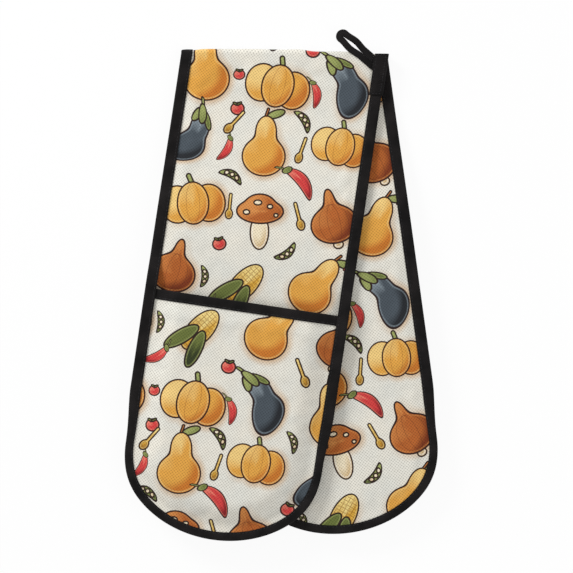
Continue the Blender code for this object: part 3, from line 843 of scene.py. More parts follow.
# %% Stuff a pad and let it pucker
LET_OUT = 0.012
SEWN_FRAME = 8
EDGE_HOLD = 0.004
FIELD_HOLD = 1.0
PUFF = 0.5
DRIFT = 0.0006
PUCKER_DEPTH = 0.045
PUCKER_PITCH = 0.011
UNEVEN = 0.0005
PAD_FRAMES = 16


def in_order(bm):
    """Sort edges and faces by their points, since an extrusion adds them in another order each run."""
    bm.verts.index_update()
    for items in (bm.edges, bm.faces):
        spans = {item: sorted(vert.index for vert in item.verts) for item in items}
        items.sort(key=lambda item: spans[item][0] * len(bm.verts) + spans[item][-1])


def grid_mesh(spots, skins):
    """A grid at the first skin, and where a second is given, a closed pad between the two."""
    bm = bmesh.new()
    rows = len(spots) // (COLUMNS + 1)
    bmesh.ops.create_grid(bm, x_segments=COLUMNS, y_segments=rows - 1, size=1)
    point = bm.verts.layers.int.new("point")
    for vert in bm.verts:
        column = round((vert.co.x + 1) / 2 * COLUMNS)
        row = round((vert.co.y + 1) / 2 * (rows - 1))
        vert[point] = row * (COLUMNS + 1) + column
    upper = set()
    if len(skins) == 2:
        extruded = bmesh.ops.extrude_face_region(bm, geom=bm.faces[:])["geom"]
        upper = {item for item in extruded if isinstance(item, bmesh.types.BMVert)}
    for vert in bm.verts:
        vert.co = skins[vert in upper][vert[point]]
    uv = bm.loops.layers.uv.new("flat_cloth")
    for face in bm.faces:
        for loop in face.loops:
            x, y = spots[loop.vert[point]][4:]
            loop[uv].uv = (x * COS + y * SIN, y * COS - x * SIN)
    if len(skins) == 2:
        in_order(bm)
        bmesh.ops.recalc_face_normals(bm, faces=bm.faces)
    return bm, point, upper


def settle(name, spots, skins, from_mouth):
    """Sew a pad's edge in a little short with the cloth solver, and return where both skins come to rest."""
    bm, point, upper = grid_mesh(spots, skins)
    bm.verts.ensure_lookup_table()
    where = [(vert[point], vert in upper) for vert in bm.verts]
    sewn = [vert.co.copy() for vert in bm.verts]
    middle = sum(sewn, Vector()) / len(sewn)
    for vert in bm.verts:
        vert.co.xy = middle.xy + (vert.co.xy - middle.xy) * (1 + LET_OUT)
    pad = new_object(name, bm)
    pad.shape_key_add(name="cut")
    key = pad.shape_key_add(name="sewn")
    for index, place in enumerate(sewn):
        key.data[index].co = place
    for number, value in ((1, 0.0), (SEWN_FRAME, 1.0)):
        key.value = value
        key.keyframe_insert("value", frame=number)
    held = pad.vertex_groups.new(name="held")
    for index, (spot, _) in enumerate(where):
        half, across, along, inset, x, y = spots[spot]
        nearest = min(inset, from_mouth(half, along), abs(y) - FOLD_RUN / 2)
        wadding = ease((nearest - BINDING_WIDTH) / PUCKER_DEPTH)
        hold = 1.0 if nearest < BINDING_WIDTH else between(EDGE_HOLD, FIELD_HOLD, wadding)
        held.add([index], hold, "REPLACE")
    solver = pad.modifiers.new("Cloth", "CLOTH")
    cloth = solver.settings
    cloth.quality = 4
    cloth.mass = 0.2
    cloth.bending_stiffness = 0.3
    cloth.use_pressure = True
    cloth.uniform_pressure_force = PUFF
    cloth.vertex_group_mass = "held"
    cloth.effector_weights.gravity = 0
    solver.collision_settings.use_collision = False
    for number in range(1, PAD_FRAMES + 1):
        bpy.context.scene.frame_set(number)
    settled = pad.evaluated_get(bpy.context.evaluated_depsgraph_get()).to_mesh()
    moved = [list(skins[0]), list(skins[1])]
    for (spot, is_upper), vert in zip(where, settled.vertices):
        moved[is_upper][spot] = vert.co.copy()
    bpy.context.scene.frame_set(1)
    bpy.data.objects.remove(pad)
    return moved


def soft_cap(move, low_cap, high_cap):
    cap = high_cap if move > 0 else low_cap
    return cap * math.tanh(move / cap) if cap > 0 else 0.0


def capped(start, end, low_cap, high_cap):
    """A settled point, with its drift on the flat and its rise and fall held within caps."""
    return start + Vector((
        soft_cap(end.x - start.x, DRIFT, DRIFT),
        soft_cap(end.y - start.y, DRIFT, DRIFT),
        soft_cap(end.z - start.z, low_cap, high_cap),
    ))


def uneven(x, y, inset):
    """The small unevenness of hand-laid wadding, from which the puckers beside the tape start."""
    seed = Vector((x / PUCKER_PITCH, y / PUCKER_PITCH, 0))
    return UNEVEN * noise.noise(seed) * ease((inset - BINDING_WIDTH) / PUCKER_PITCH)


def strip_skin(face, side):
    return [
        Vector((x, y, strip_lifts(inset)[face] + side * uneven(x, y + side * STRIP_WIDTH, inset)))
        for _, _, _, inset, x, y in STRIP_SPOTS
    ]


STRIP_LOW = strip_skin(0, -1)
STRIP_HIGH = strip_skin(-1, 1)
strip_skins = [STRIP_LOW, STRIP_HIGH]
strip_skins = settle("strip_pad", STRIP_SPOTS, strip_skins, lambda half, along: 1.0)
rises = [(end.z - start.z) * 1000 for start, end in zip(STRIP_HIGH, strip_skins[1])]
print("pocket side moved", round(min(rises), 2), "to", round(max(rises), 2), "mm before its cap")

# %% [markdown]
# Where two layers lie on each other they can't both puff out. The plain side stays flush wherever the
# other half covers it, nothing drops below the table, and inside a pocket the strip stays nearly still.

# %% Cap the strip's two skins
OUTWARD = 0.0013
INWARD = 0.0009
TAPE_BLEND = 0.0090
COVER_BLEND = 0.012


def clear_of_tape(inset):
    return ease((inset - BINDING_WIDTH) / TAPE_BLEND)


def table_lift(half, y):
    """The greatest lift that stays above the table, or more than enough where a half lies well above it."""
    return FOLD.z + drape(abs(y) - FOLD_RUN / 2) - GAP / 2 if half is BACK else 1.0


def cap_strip_low(spot, start, end):
    half, across, along, inset, x, y = spot
    uncovered = ease(-under_other_half(half, x, y) / COVER_BLEND) if half else 0
    room = OUTWARD * clear_of_tape(inset) * uncovered
    point = capped(start, end, room, INWARD * clear_of_tape(inset))
    point.z = max(point.z, HALF_GAP - room)
    return point


def cap_strip_high(spot, start, end):
    half, across, along, inset, x, y = spot
    room = OUTWARD * clear_of_tape(inset) * (0.15 if half and along > mouth_of(half) else 1)
    point = capped(start, end, INWARD * clear_of_tape(inset), room)
    point.z = min(point.z, table_lift(half, y))
    return point


STRIP_LOW_SKIN = [cap_strip_low(*group) for group in zip(STRIP_SPOTS, STRIP_LOW, strip_skins[0])]
STRIP_HIGH_SKIN = [cap_strip_high(*group) for group in zip(STRIP_SPOTS, STRIP_HIGH, strip_skins[1])]

# %% [markdown]
# Each cloth of the strip is one length in the real glove. It is smoothed by one subdivision, given its
# thickness, folded into place as a whole, and only then parted into the stretches that the two halves and
# the bight between them carry. The stretches keep the whole cloth's normals, so no seam shows at the fold.

# %% Make cloths from skins
def smoothed(name, spots, skin):
    """A bmesh of one skin after a subdivision, still flat."""
    bm, _, _ = grid_mesh(spots, [skin])
    rough = new_object(name, bm)
    refine = rough.modifiers.new("Subdivision", "SUBSURF")
    refine.levels = refine.render_levels = 1
    refine.boundary_smooth = "PRESERVE_CORNERS"
    fine = rough.evaluated_get(bpy.context.evaluated_depsgraph_get()).to_mesh()
    made = bmesh.new()
    made.from_mesh(fine)
    bpy.data.objects.remove(rough)
    return made


def thicken(bm, lift):
    """Extrude a flat cloth and raise or lower its second face by its thickness."""
    extruded = bmesh.ops.extrude_face_region(bm, geom=bm.faces[:])["geom"]
    for item in extruded:
        if isinstance(item, bmesh.types.BMVert):
            item.co.z += lift
    in_order(bm)
    bmesh.ops.recalc_face_normals(bm, faces=bm.faces)


def fold_up(bm):
    """Fold a flat mesh into the world, and remember each point's normal on the whole piece."""
    for vert in bm.verts:
        vert.co = wrap(vert.co)
    bm.normal_update()
    whole = bm.verts.layers.float_vector.new("whole_normal")
    for vert in bm.verts:
        vert[whole] = vert.normal


def finish_piece(bm, name, material):
    """Turn a folded mesh into a named object that keeps the normals of the piece it was parted from."""
    whole = bm.verts.layers.float_vector.get("whole_normal")
    normals = [tuple(vert[whole]) for vert in bm.verts] if whole else None
    if whole:
        bm.verts.layers.float_vector.remove(whole)
    piece = new_object(name, bm)
    piece.data.shade_smooth()
    if normals:
        piece.data.normals_split_custom_set_from_vertices(normals)
    piece.data.materials.append(material)
    return piece


def part(bm, test):
    """A closed copy of the faces whose flat middle passes the test, made before the mesh is folded up."""
    copied = bm.copy()
    middle = copied.faces.layers.float_vector.get("flat_middle")
    away = [face for face in copied.faces if not test(Vector(face[middle]))]
    bmesh.ops.delete(copied, geom=away, context="FACES")
    open_edges = [edge for edge in copied.edges if edge.is_boundary]
    bmesh.ops.holes_fill(copied, edges=open_edges, sides=0)
    return copied


def mark_middles(bm):
    middle = bm.faces.layers.float_vector.new("flat_middle")
    for face in bm.faces:
        face[middle] = face.calc_center_median()


PLAIN_SHIFT = (0.093, 0.020)
POCKET_SIDE_SHIFT = (0.093, 0.060)
POCKET_SHIFT = (0.125, 0.105)
BIGHT_END = FOLD_RUN / 2 + GAP
STRETCHES = (
    ("back", lambda middle: middle.y < -BIGHT_END),
    ("fold", lambda middle: abs(middle.y) <= BIGHT_END),
    ("front", lambda middle: middle.y > BIGHT_END),
)


def hold(piece, stretch, lift):
    """Back and front stretches ride on their halves, and the bight turns from one to the other."""
    if stretch == "fold":
        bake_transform(piece)
    else:
        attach(piece, f"{stretch}_half")


def turn_print(piece, across, along, shift):
    """Turn the print upright for the side that a cloth shows, and shift it as the cutter's lay did."""
    coords = np.empty(len(piece.data.loops) * 2)
    layer = piece.data.uv_layers["flat_cloth"].data
    layer.foreach_get("uv", coords)
    turned = coords.reshape(-1, 2) * (across, along) + shift
    layer.foreach_set("uv", turned.ravel())


def strip_piece(bm, kind, material, lift):
    """Part a flat strip layer into its three stretches, each standing for its own node."""
    mark_middles(bm)
    fold_up(bm)
    made = {}
    for stretch, test in STRETCHES:
        piece = finish_piece(part(bm, test), f"{stretch}_{kind}_dressed", material)
        hold(piece, stretch, lift)
        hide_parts(f"{stretch}_{kind}")
        made[stretch] = piece
    bm.free()
    print(kind, [len(piece.data.polygons) for piece in made.values()], "faces")
    return made


# the inner cloth turns so tightly at the fold that its print has no length there
PLAIN_SPOTS = [
    (*spot[:5], math.copysign(max(abs(spot[5]) - FOLD_RUN / 2, 0), spot[5])) for spot in STRIP_SPOTS
]
plain = smoothed("plain_cloth", PLAIN_SPOTS, STRIP_LOW_SKIN)
thicken(plain, CLOTH)
PLAIN_CLOTH = strip_piece(plain, "plain_cloth", PRINTED, CLOTH + HALF_GAP)
for piece in PLAIN_CLOTH.values():
    turn_print(piece, 1, 1, PLAIN_SHIFT)

pocket_side = smoothed("pocket_side_cloth", STRIP_SPOTS, STRIP_HIGH_SKIN)
thicken(pocket_side, -CLOTH)
POCKET_SIDE_CLOTH = strip_piece(pocket_side, "pocket_side_cloth", PRINTED, STRIP_TOP)
for piece in POCKET_SIDE_CLOTH.values():
    turn_print(piece, 1, -1, POCKET_SIDE_SHIFT)

# %% [markdown]
# The wadding is a bonded polyester sheet that fills the space between the two cloths, so it is the same
# closed pad with a cloth and a gap taken off each face.

# %% Fill the strip with wadding
INNER = CLOTH + GAP


def eased_rows(rows):
    """Draw every point but a row's first and last an eighth of the way to each neighbour."""
    made = []
    for row in rows:
        middles = [b * 0.75 + (a + c) * 0.125 for a, b, c in zip(row, row[1:], row[2:])]
        made.append([row[0], *middles, row[-1]])
    return made


def under_cloth(skin, lift):
    """A skin eased as the subdivided cloth over it is, and moved off that cloth's inner face."""
    rows = [skin[start:start + COLUMNS + 1] for start in range(0, len(skin), COLUMNS + 1)]
    turned = zip(*eased_rows(rows))
    eased = zip(*eased_rows([list(row) for row in turned]))
    return [point + Vector((0, 0, lift)) for row in eased for point in row]


wadding_skins = [under_cloth(STRIP_LOW_SKIN, INNER), under_cloth(STRIP_HIGH_SKIN, -INNER)]
wadding, _, _ = grid_mesh(STRIP_SPOTS, wadding_skins)
STRIP_FILL = strip_piece(wadding, "wadding", WADDING, STRIP_TOP - INNER)


# %% [markdown]
# The pocket is a second, shorter pad with three layers of its own. It is sewn to the strip all round under
# the tape, and its mouth is bound across. Between those lines a hand's thickness lifts it, so it crowns.

# %% Make the pocket panels
def panel_spots(half):
    return grid_spots(half_rows(half, mouth_of(half) + EDGE_INSET))


def cap_panel(half, spot, start, end, upper):
    _, across, along, inset, x, y = spot
    clear = clear_of_tape(min(inset, along - mouth_of(half)))
    if not upper:
        return capped(start, end, 0.2 * INWARD * clear, INWARD * clear)
    point = capped(start, end, INWARD * clear, OUTWARD * clear)
    point.z = min(point.z, table_lift(half, y))
    return point


def panel_skin(half, spots, face, side):
    skin = []
    for _, across, along, inset, x, y in spots:
        bumpy = side * uneven(x + half.length, y + side * STRIP_WIDTH, min(inset, along - mouth_of(half)))
        skin.append(Vector((x, y, panel_lifts(half, inset, along)[face] + bumpy)))
    return skin


def flush_piece(bm, name, material, half, node):
    """Fold up a piece that lies on one half only, and let it ride there in place of its node."""
    fold_up(bm)
    piece = finish_piece(bm, name, material)
    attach(piece, half.body)
    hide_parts(node)
    return piece


def make_panel(half):
    spots = panel_spots(half)
    start = [panel_skin(half, spots, 0, -1), panel_skin(half, spots, -1, 1)]
    skins = start
    skins = settle(f"{half.name}_panel", spots, start, lambda half, along: along - mouth_of(half))
    low = [cap_panel(half, *group, False) for group in zip(spots, start[0], skins[0])]
    high = [cap_panel(half, *group, True) for group in zip(spots, start[1], skins[1])]
    lining = smoothed("lining", spots, low)
    thicken(lining, CLOTH)
    cloth = smoothed("cloth", spots, high)
    thicken(cloth, -CLOTH)
    fill, _, _ = grid_mesh(spots, [under_cloth(low, INNER), under_cloth(high, -INNER)])
    made = []
    for bm, layer, material, slot in (
        (lining, "pocket_lining", PRINTED, "printed_cloth"),
        (fill, "pocket_wadding", WADDING, "wadding"),
        (cloth, "pocket_cloth", PRINTED, "printed_cloth"),
    ):
        node = f"{half.name}_{layer}"
        made.append(flush_piece(bm, f"{node}_dressed", material, half, node))
    turn_print(made[0], -half.out, -1, POCKET_SHIFT)
    turn_print(made[2], half.out, -half.out, POCKET_SHIFT)
    print(half.name, "panel crowns to", round(max(point.z for point in high) * 1000, 2), "mm lift")


for half in (FRONT, BACK):
    make_panel(half)

# %% [markdown]
# Bias tape is folded over the raw edges and sewn through once. Its section is drawn as a closed line: out
# along the plain side, round the edge, back along the pocket side, and home along the inner faces. The
# same section serves the edge and the mouth, and its flanks swell a little beside the seam.

# %% Draw a folded tape
TAPE_ROUND = 0.0016
HEM_ROUND = 0.0002
SEAM_SHARE = 0.19
SWELL = 0.00022
FLANK_SHARES = (0.05, 0.13, SEAM_SHARE, 0.26, 0.42, 0.6, 0.8, 1)
TURN_STEPS = 4


def flank_swell(share):
    """Swell of a tape's flank from its hem, at 0, over its seam to its outer edge, at 1."""
    if share < SEAM_SHARE:
        return 0.2 * math.sin(math.pi * share / SEAM_SHARE)
    return math.sin(math.pi * (share - SEAM_SHARE) / (1 - SEAM_SHARE))


def seam_inset(width):
    """Where the one line of stitches runs on a folded tape of a width."""
    return between(width - HEM_ROUND, TAPE_ROUND, SEAM_SHARE)


def tape_section(width, low, high, low_swell=0.0):
    """(inset, lift) points round a tape folded over an edge that has faces at low and high."""
    turn = min(TAPE_ROUND, (high - low) / 2.2)
    hem = width - HEM_ROUND
    section = [(width, low + HEM_ROUND)]
    for share in (0, *FLANK_SHARES):
        section.append((between(hem, turn, share), low - low_swell * flank_swell(share)))
    for step in range(1, TURN_STEPS + 1):
        angle = math.pi / 2 * step / TURN_STEPS
        section.append((turn - turn * math.sin(angle), low + turn - turn * math.cos(angle)))
    for step in range(TURN_STEPS + 1):
        angle = math.pi / 2 * step / TURN_STEPS
        section.append((turn - turn * math.cos(angle), high - turn + turn * math.sin(angle)))
    for share in FLANK_SHARES[-2::-1] + (0,):
        section.append((between(hem, turn, share), high + SWELL * flank_swell(share)))
    section.append((width, high - HEM_ROUND))
    section += [(width, high - TAPE + HEM_ROUND), (hem, high - TAPE)]
    section += [(TAPE + HEM_ROUND, high - TAPE), (TAPE, high - TAPE - HEM_ROUND)]
    section += [(TAPE, low + TAPE + HEM_ROUND), (TAPE + HEM_ROUND, low + TAPE)]
    return section + [(hem, low + TAPE), (width, low + TAPE - HEM_ROUND)]


def sweep(sections, closed_path):
    """A grid bent round closed sections and along a path, with its lengths in metres as its UV map."""
    across = len(sections[0])
    along = len(sections) if closed_path else len(sections) - 1
    bm = bmesh.new()
    bmesh.ops.create_grid(bm, x_segments=across, y_segments=along, size=1)
    uv = bm.loops.layers.uv.new("flat_cloth")
    run = [0.0]
    for first, second in zip(sections, sections[1:] + sections[:1]):
        run.append(run[-1] + (second[across // 2] - first[across // 2]).length)
    reach = [0.0]
    for first, second in zip(sections[0], sections[0][1:] + sections[0][:1]):
        reach.append(reach[-1] + (second - first).length)
    places = {}
    for vert in bm.verts:
        places[vert] = (round((vert.co.x + 1) / 2 * across), round((vert.co.y + 1) / 2 * along))
    for face in bm.faces:
        for loop in face.loops:
            column, row = places[loop.vert]
            loop[uv].uv = (reach[column], run[row])
    for vert, (column, row) in places.items():
        vert.co = sections[row % len(sections)][column % across]
    bmesh.ops.remove_doubles(bm, verts=bm.verts, dist=GAP / 100)
    bmesh.ops.holes_fill(bm, edges=[edge for edge in bm.edges if edge.is_boundary], sides=0)
    bmesh.ops.recalc_face_normals(bm, faces=bm.faces)
    return bm


print("a tape section has", len(tape_section(BINDING_WIDTH, 0, BINDING_TOP)), "points")

# %% [markdown]
# The edge binding is one tape that runs right round the strip, over the fold at both sides. Its stations
# follow the flat outline, and the tape's own small waves, where the foot gathered it, are laid on the
# flanks as gentle noise.

# %% Bind the edge
TAPE_CELL = 0.0016
WAVE_PITCH = 0.009
WAVE = 0.00018
BIGHT_STATIONS = 14
END_TAPE = 0.76
END_TAPE_FADE = 0.045


def side_stations(half, side, down):
    count = round(end_of(half) / TAPE_CELL)
    steps = range(count + 1) if down else range(count, -1, -1)
    return [(half, side, end_of(half) * step / count) for step in steps]


def end_stations(half, side):
    """Angles round the end, starting from a side."""
    count = round(math.pi * (STRIP_WIDTH / 2 + END_DEPTH) / 2 / TAPE_CELL)
    start = math.pi if side < 0 else 0
    return [(half, None, abs(start - math.pi * step / count)) for step in range(1, count)]


def bight_stations(side, up):
    steps = range(1, BIGHT_STATIONS) if up else range(BIGHT_STATIONS - 1, 0, -1)
    return [(None, side, step / BIGHT_STATIONS) for step in steps]


def flank_share(station):
    """The tape shows a narrower flank round the ends, where more of it is turned under."""
    half, side, value = station
    if half is None:
        return 1.0
    nearing = ease((value - end_of(half)) / END_TAPE_FADE + 1) if side else 1.0
    return between(1.0, END_TAPE, nearing)


def station_place(station, inset):
    """Flat x and y, and distance along the half, of a station at an inset."""
    half, side, value = station
    inset *= flank_share(station) if inset > 0 else 1
    half_width = STRIP_WIDTH / 2 - inset
    if half is None:
        return side * half_width / COS, FOLD_RUN * (value - 0.5), 0
    if side is None:
        across, along = half_width * math.cos(value), end_of(half) + end_reach(inset) * math.sin(value)
    else:
        across, along = side * half_width, skewed(half, side * half_width, value)
    return (*spread(half, across, along), along)


def tape_wave(x, y, swell):
    return WAVE * swell * noise.noise(Vector((x / WAVE_PITCH, y / WAVE_PITCH, 3.0)))


def station_section(station):
    half = station[0]
    _, _, along = station_place(station, 0)
    high = binding_top(half, along) if half else BINDING_TOP
    section = []
    for inset, lift in tape_section(BINDING_WIDTH, HALF_GAP, high):
        x, y, _ = station_place(station, inset)
        middle = math.sin(math.pi * min(inset / BINDING_WIDTH, 1))
        wave = tape_wave(x, y, middle) if lift > high - GAP else 0
        section.append(Vector((x, y, lift + wave)))
    return section


ring = side_stations(FRONT, -1, True) + end_stations(FRONT, -1) + side_stations(FRONT, 1, False)
ring += bight_stations(1, False)
ring += side_stations(BACK, 1, True) + end_stations(BACK, 1) + side_stations(BACK, -1, False)
ring += bight_stations(-1, True)
edge_tape = sweep([station_section(station) for station in ring], closed_path=True)
mark_middles(edge_tape)
fold_up(edge_tape)
TAPE_STRETCHES = (
    ("front", "front_edge_binding", lambda middle: middle.y > FOLD_RUN / 2),
    ("back", "back_edge_binding", lambda middle: middle.y < -FOLD_RUN / 2),
    ("fold", "fold_binding_left", lambda middle: abs(middle.y) <= FOLD_RUN / 2 and middle.x < 0),
    ("fold", "fold_binding_right", lambda middle: abs(middle.y) <= FOLD_RUN / 2 and middle.x > 0),
)
for stretch, node, test in TAPE_STRETCHES:
    piece = finish_piece(part(edge_tape, test), f"{node}_dressed", BINDING)
    hold(piece, stretch, BINDING_TOP)
    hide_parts(node)
    print(node, len(piece.data.polygons), "faces")
edge_tape.free()

# %% [markdown]
# The mouth binding is a straight length of the same tape, folded over the panel's top edge. Its two ends
# run in under the edge binding, where the one seam holds both.

# %% Bind the mouths
MOUTH_CELL = 0.0020


def make_mouth(half):
    mouth = mouth_of(half)
    count = round((STRIP_WIDTH - 2 * EDGE_INSET) / MOUTH_CELL)
    sections = []
    for step in range(count + 1):
        across = between(-1, 1, step / count) * (STRIP_WIDTH / 2 - EDGE_INSET)
        inset = STRIP_WIDTH / 2 - abs(across)
        lifts = panel_lifts(half, inset, mouth)
        free = clear_of_tape(inset)
        section = []
        for depth, lift in tape_section(BAND_WIDTH, lifts[0] - EDGE_INSET, lifts[-1] + EDGE_INSET):
            x, y = spread(half, across, mouth + depth)
            outer = lift > lifts[-1] + EDGE_INSET - GAP
            wave = tape_wave(x, y, free * math.sin(math.pi * min(depth / BAND_WIDTH, 1))) if outer else 0
            swell = lift - lifts[-1] - EDGE_INSET if outer else 0
            section.append(Vector((x, y, lift + wave - max(swell, 0) * (1 - free))))
        sections.append(section)
    node = f"{half.name}_mouth_binding"
    flush_piece(sweep(sections, closed_path=False), f"{node}_dressed", BINDING, half, node)


for half in (FRONT, BACK):
    make_mouth(half)
print("mouth bindings", round(STRIP_WIDTH * 1000), "mm long")

# %% [markdown]
# At the fold's right corner the last end of the edge tape is lapped over its start, with the two ends of the
# hang loop caught between. The lap is one more thickness of tape, turned down over the edge, and it steps
# down where the loop's ends stop. Lengthwise creases show how it was pulled tight.

# %% Lap the tape's end
LOOP_HINGE = Vector(next(joint["pos_m"] for joint in frame["joints"] if joint["name"] == "loop_hinge"))
LOOP_HEADING = math.radians(139.5)
LOOP_WAY = Vector((math.cos(LOOP_HEADING), math.sin(LOOP_HEADING), 0))
LOOP_SIDE = Vector((math.sin(LOOP_HEADING), -math.cos(LOOP_HEADING), 0))
INWARD_WAY = Vector((-COS, SIN, 0))
LAP_WIDTH = 0.0112
LAP_LENGTH = 0.0350
LAP_STEP = 0.0040
LAP_SEAM = 0.0015
LAP_SEAM_DEPTH = 0.00018
LAP_HEM = 0.0005
LAP_CORNER = 0.0042
LAP_CORNER_REACH = 0.004
LOOP_ROOT_STANDOFF = 0.0010
LOOP_TAIL_INSET = 0.0020
LOOP_TAPE_WIDTH = 0.0056
LOOP_END_LOW = BINDING_TOP + GAP
LOOP_END_HIGH = LOOP_END_LOW + 0.0010
LAP_INSETS = (0.002, 0.02, 0.06, 0.13, 0.2, 0.3, 0.4, 0.5, 0.6, 0.7, 0.8, 0.87, 0.93)


def lap_top(along, step_start):
    """Lift of the lap's upper face: over the loop's ends first, then down onto the binding."""
    return between(LOOP_END_HIGH, BINDING_TOP, ease((along - step_start) / LAP_STEP)) + EDGE_INSET


def lap_crease(inset, along):
    """Low ridges that run lengthwise and fade out at the lap's two seams."""
    middle = math.sin(math.pi * min(max((inset + EDGE_INSET) / (LAP_WIDTH + EDGE_INSET), 0), 1))
    ridges = noise.noise(Vector((inset / 0.0013, along / 0.012, 5.0)))
    return middle * (0.00022 * ridges + 0.00016)


def lap_seam(inset, along):
    """A shallow channel where the lap is sewn in a long box."""
    edges = (LAP_WIDTH - inset, inset, LAP_LENGTH - along)
    nearest = min(abs(edge - LAP_SEAM) for edge in edges)
    return LAP_SEAM_DEPTH * max(0, 1 - nearest / 0.0009)


def lap_section(along, top):
    rounding = 0.0004 * (1 - min(1, (LAP_LENGTH - along) / 0.0012))
    hem = HALF_GAP + LAP_HEM
    outer = -EDGE_INSET
    points = [(LAP_WIDTH, top - TAPE), (LAP_WIDTH, top - TAPE / 3 - rounding)]
    for share in LAP_INSETS[1:]:
        inset = between(LAP_WIDTH, TAPE_ROUND + outer, share)
        points.append((inset, top + lap_crease(inset, along) - lap_seam(inset, along) - rounding))
    for step in range(TURN_STEPS + 1):
        angle = math.pi / 2 * step / TURN_STEPS
        points.append((
            outer + TAPE_ROUND * (1 - math.sin(angle)),
            top - rounding - TAPE_ROUND * (1 - math.cos(angle)),
        ))
    points += [(outer, hem + HEM_ROUND), (outer + HEM_ROUND, hem)]
    points += [(-GAP - HEM_ROUND, hem), (-GAP, hem + HEM_ROUND)]
    for step in range(TURN_STEPS, -1, -1):
        angle = math.pi / 2 * step / TURN_STEPS
        inner = TAPE_ROUND - TAPE + GAP
        points.append((-GAP + inner * (1 - math.sin(angle)), top - TAPE - inner * (1 - math.cos(angle))))
    return points


LAP_TURN_STEPS = 12
LAP_ROWS = 36


def lap_step_start():
    """Where the loop's sewn ends stop, measured from the fold."""
    slant = INWARD_WAY.dot(LOOP_WAY)
    tail_run = (LAP_WIDTH + LOOP_ROOT_STANDOFF - LOOP_TAIL_INSET) / slant
    return FOLD.y - LOOP_HINGE.y + tail_run * LOOP_WAY.y + LOOP_TAPE_WIDTH / slant + GAP


def make_lap():
    step_start = lap_step_start()
    sections = []
    for step in range(LAP_TURN_STEPS):
        share = step / LAP_TURN_STEPS
        y = between(-0.25, 0.5, share) * FOLD_RUN
        top = between(BINDING_TOP, LOOP_END_HIGH, ease(share)) + EDGE_INSET
        rounded = LAP_CORNER * (1 - share) ** 2
        section = []
        for inset, lift in lap_section(LAP_LENGTH / 2, top):
            pulled = rounded * (1 - min(1, max(0, inset) / LAP_CORNER_REACH))
            section.append(Vector(((STRIP_WIDTH / 2 - inset - pulled) / COS, y, lift)))
        sections.append(section)
    for step in range(LAP_ROWS + 1):
        along = between(0, LAP_LENGTH, step / LAP_ROWS)
        section = []
        for inset, lift in lap_section(along, lap_top(along, step_start)):
            across = STRIP_WIDTH / 2 - inset
            x, y = spread(FRONT, across, skewed(FRONT, across, along))
            section.append(Vector((x, y, lift)))
        sections.append(section)
    lap = sweep(sections, closed_path=False)
    mark_middles(lap)
    fold_up(lap)
    flat = finish_piece(
        part(lap, lambda middle: middle.y > FOLD_RUN / 2), "binding_overlap_dressed", BINDING
    )
    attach(flat, "front_half")
    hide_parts("binding_overlap")
    turned = finish_piece(
        part(lap, lambda middle: middle.y <= FOLD_RUN / 2), "binding_overlap_turn", BINDING
    )
    hold(turned, "fold", LOOP_END_HIGH + EDGE_INSET)
    lap.free()
    print("lap steps down", round(step_start * 1000, 1), "mm from the fold")


make_lap()

# %% [markdown]
# The hang loop is a narrow tape folded lengthwise, sewn shut along its open side and bent round into a
# hairpin. Its two strands lie side by side and part only at the eye. A soft oval section with a groove for
# that seam is swept along the hairpin.

# %% Bend the hang loop
LOOP_LENGTH = 0.0405
LOOP_THICKNESS = 0.0022
LOOP_TIP_EXTRA = 0.0011
LOOP_STRAND_GAP = 0.0004
LOOP_EYE_WIDTH = 0.0028
LOOP_EYE_LENGTH = 0.0215
LOOP_BEND_RADIUS = 0.0031
LOOP_TAPER = 0.0080
LOOP_ROOT_FADE = 0.0110
LOOP_LOW = STRIP_TOP + GAP
LOOP_BASE = LOOP_HINGE.z - LOOP_END_HIGH
LOOP_BEND_CENTRE = LOOP_LENGTH - LOOP_TAPE_WIDTH / 2 - LOOP_TIP_EXTRA - LOOP_BEND_RADIUS
STRAND_STEPS = 30
BEND_STEPS = 24
STRAND_POINTS = 20


def strand_offset(reach):
    """Half the distance between the two strands' middles."""
    beside = (LOOP_TAPE_WIDTH + LOOP_STRAND_GAP) / 2
    share = (reach - (LOOP_BEND_CENTRE - LOOP_EYE_LENGTH)) / LOOP_EYE_LENGTH
    if share <= 0:
        return beside
    bulge = (LOOP_EYE_WIDTH - LOOP_STRAND_GAP) / 2 * math.sin(math.pi * min(share, 1)) ** 2
    return beside + (LOOP_BEND_RADIUS - beside) * ease(share) + bulge


def strand_section(inner, outer, low, high):
    """(across, height) points of a soft flat tape with a sewn groove near its outer side."""
    middle, half = (inner + outer) / 2, (outer - inner) / 2
    centre, rise = (low + high) / 2, (high - low) / 2
    points = []
    for step in range(STRAND_POINTS):
        angle = 2 * math.pi * step / STRAND_POINTS
        wide = math.copysign(abs(math.cos(angle)) ** 0.55, math.cos(angle))
        tall = math.copysign(abs(math.sin(angle)) ** 0.75, math.sin(angle))
        groove = 0.12 * rise * max(0, 1 - abs(wide - 0.62) / 0.2)
        points.append((middle + half * wide, centre + (rise - groove) * tall))
    return points


def on_hinge(side, past):
    """How far along its heading the loop's point at a side lies a little past the hinge line."""
    return (past - INWARD_WAY.dot(LOOP_SIDE * side)) / INWARD_WAY.dot(LOOP_WAY)


def loop_point(side, reach, height):
    start = on_hinge(side, GAP / 6) * max(0, 1 - reach / LOOP_ROOT_FADE)
    place = Vector((LOOP_HINGE.x, LOOP_HINGE.y, LOOP_BASE + height))
    return place + LOOP_SIDE * side + LOOP_WAY * (reach + start)


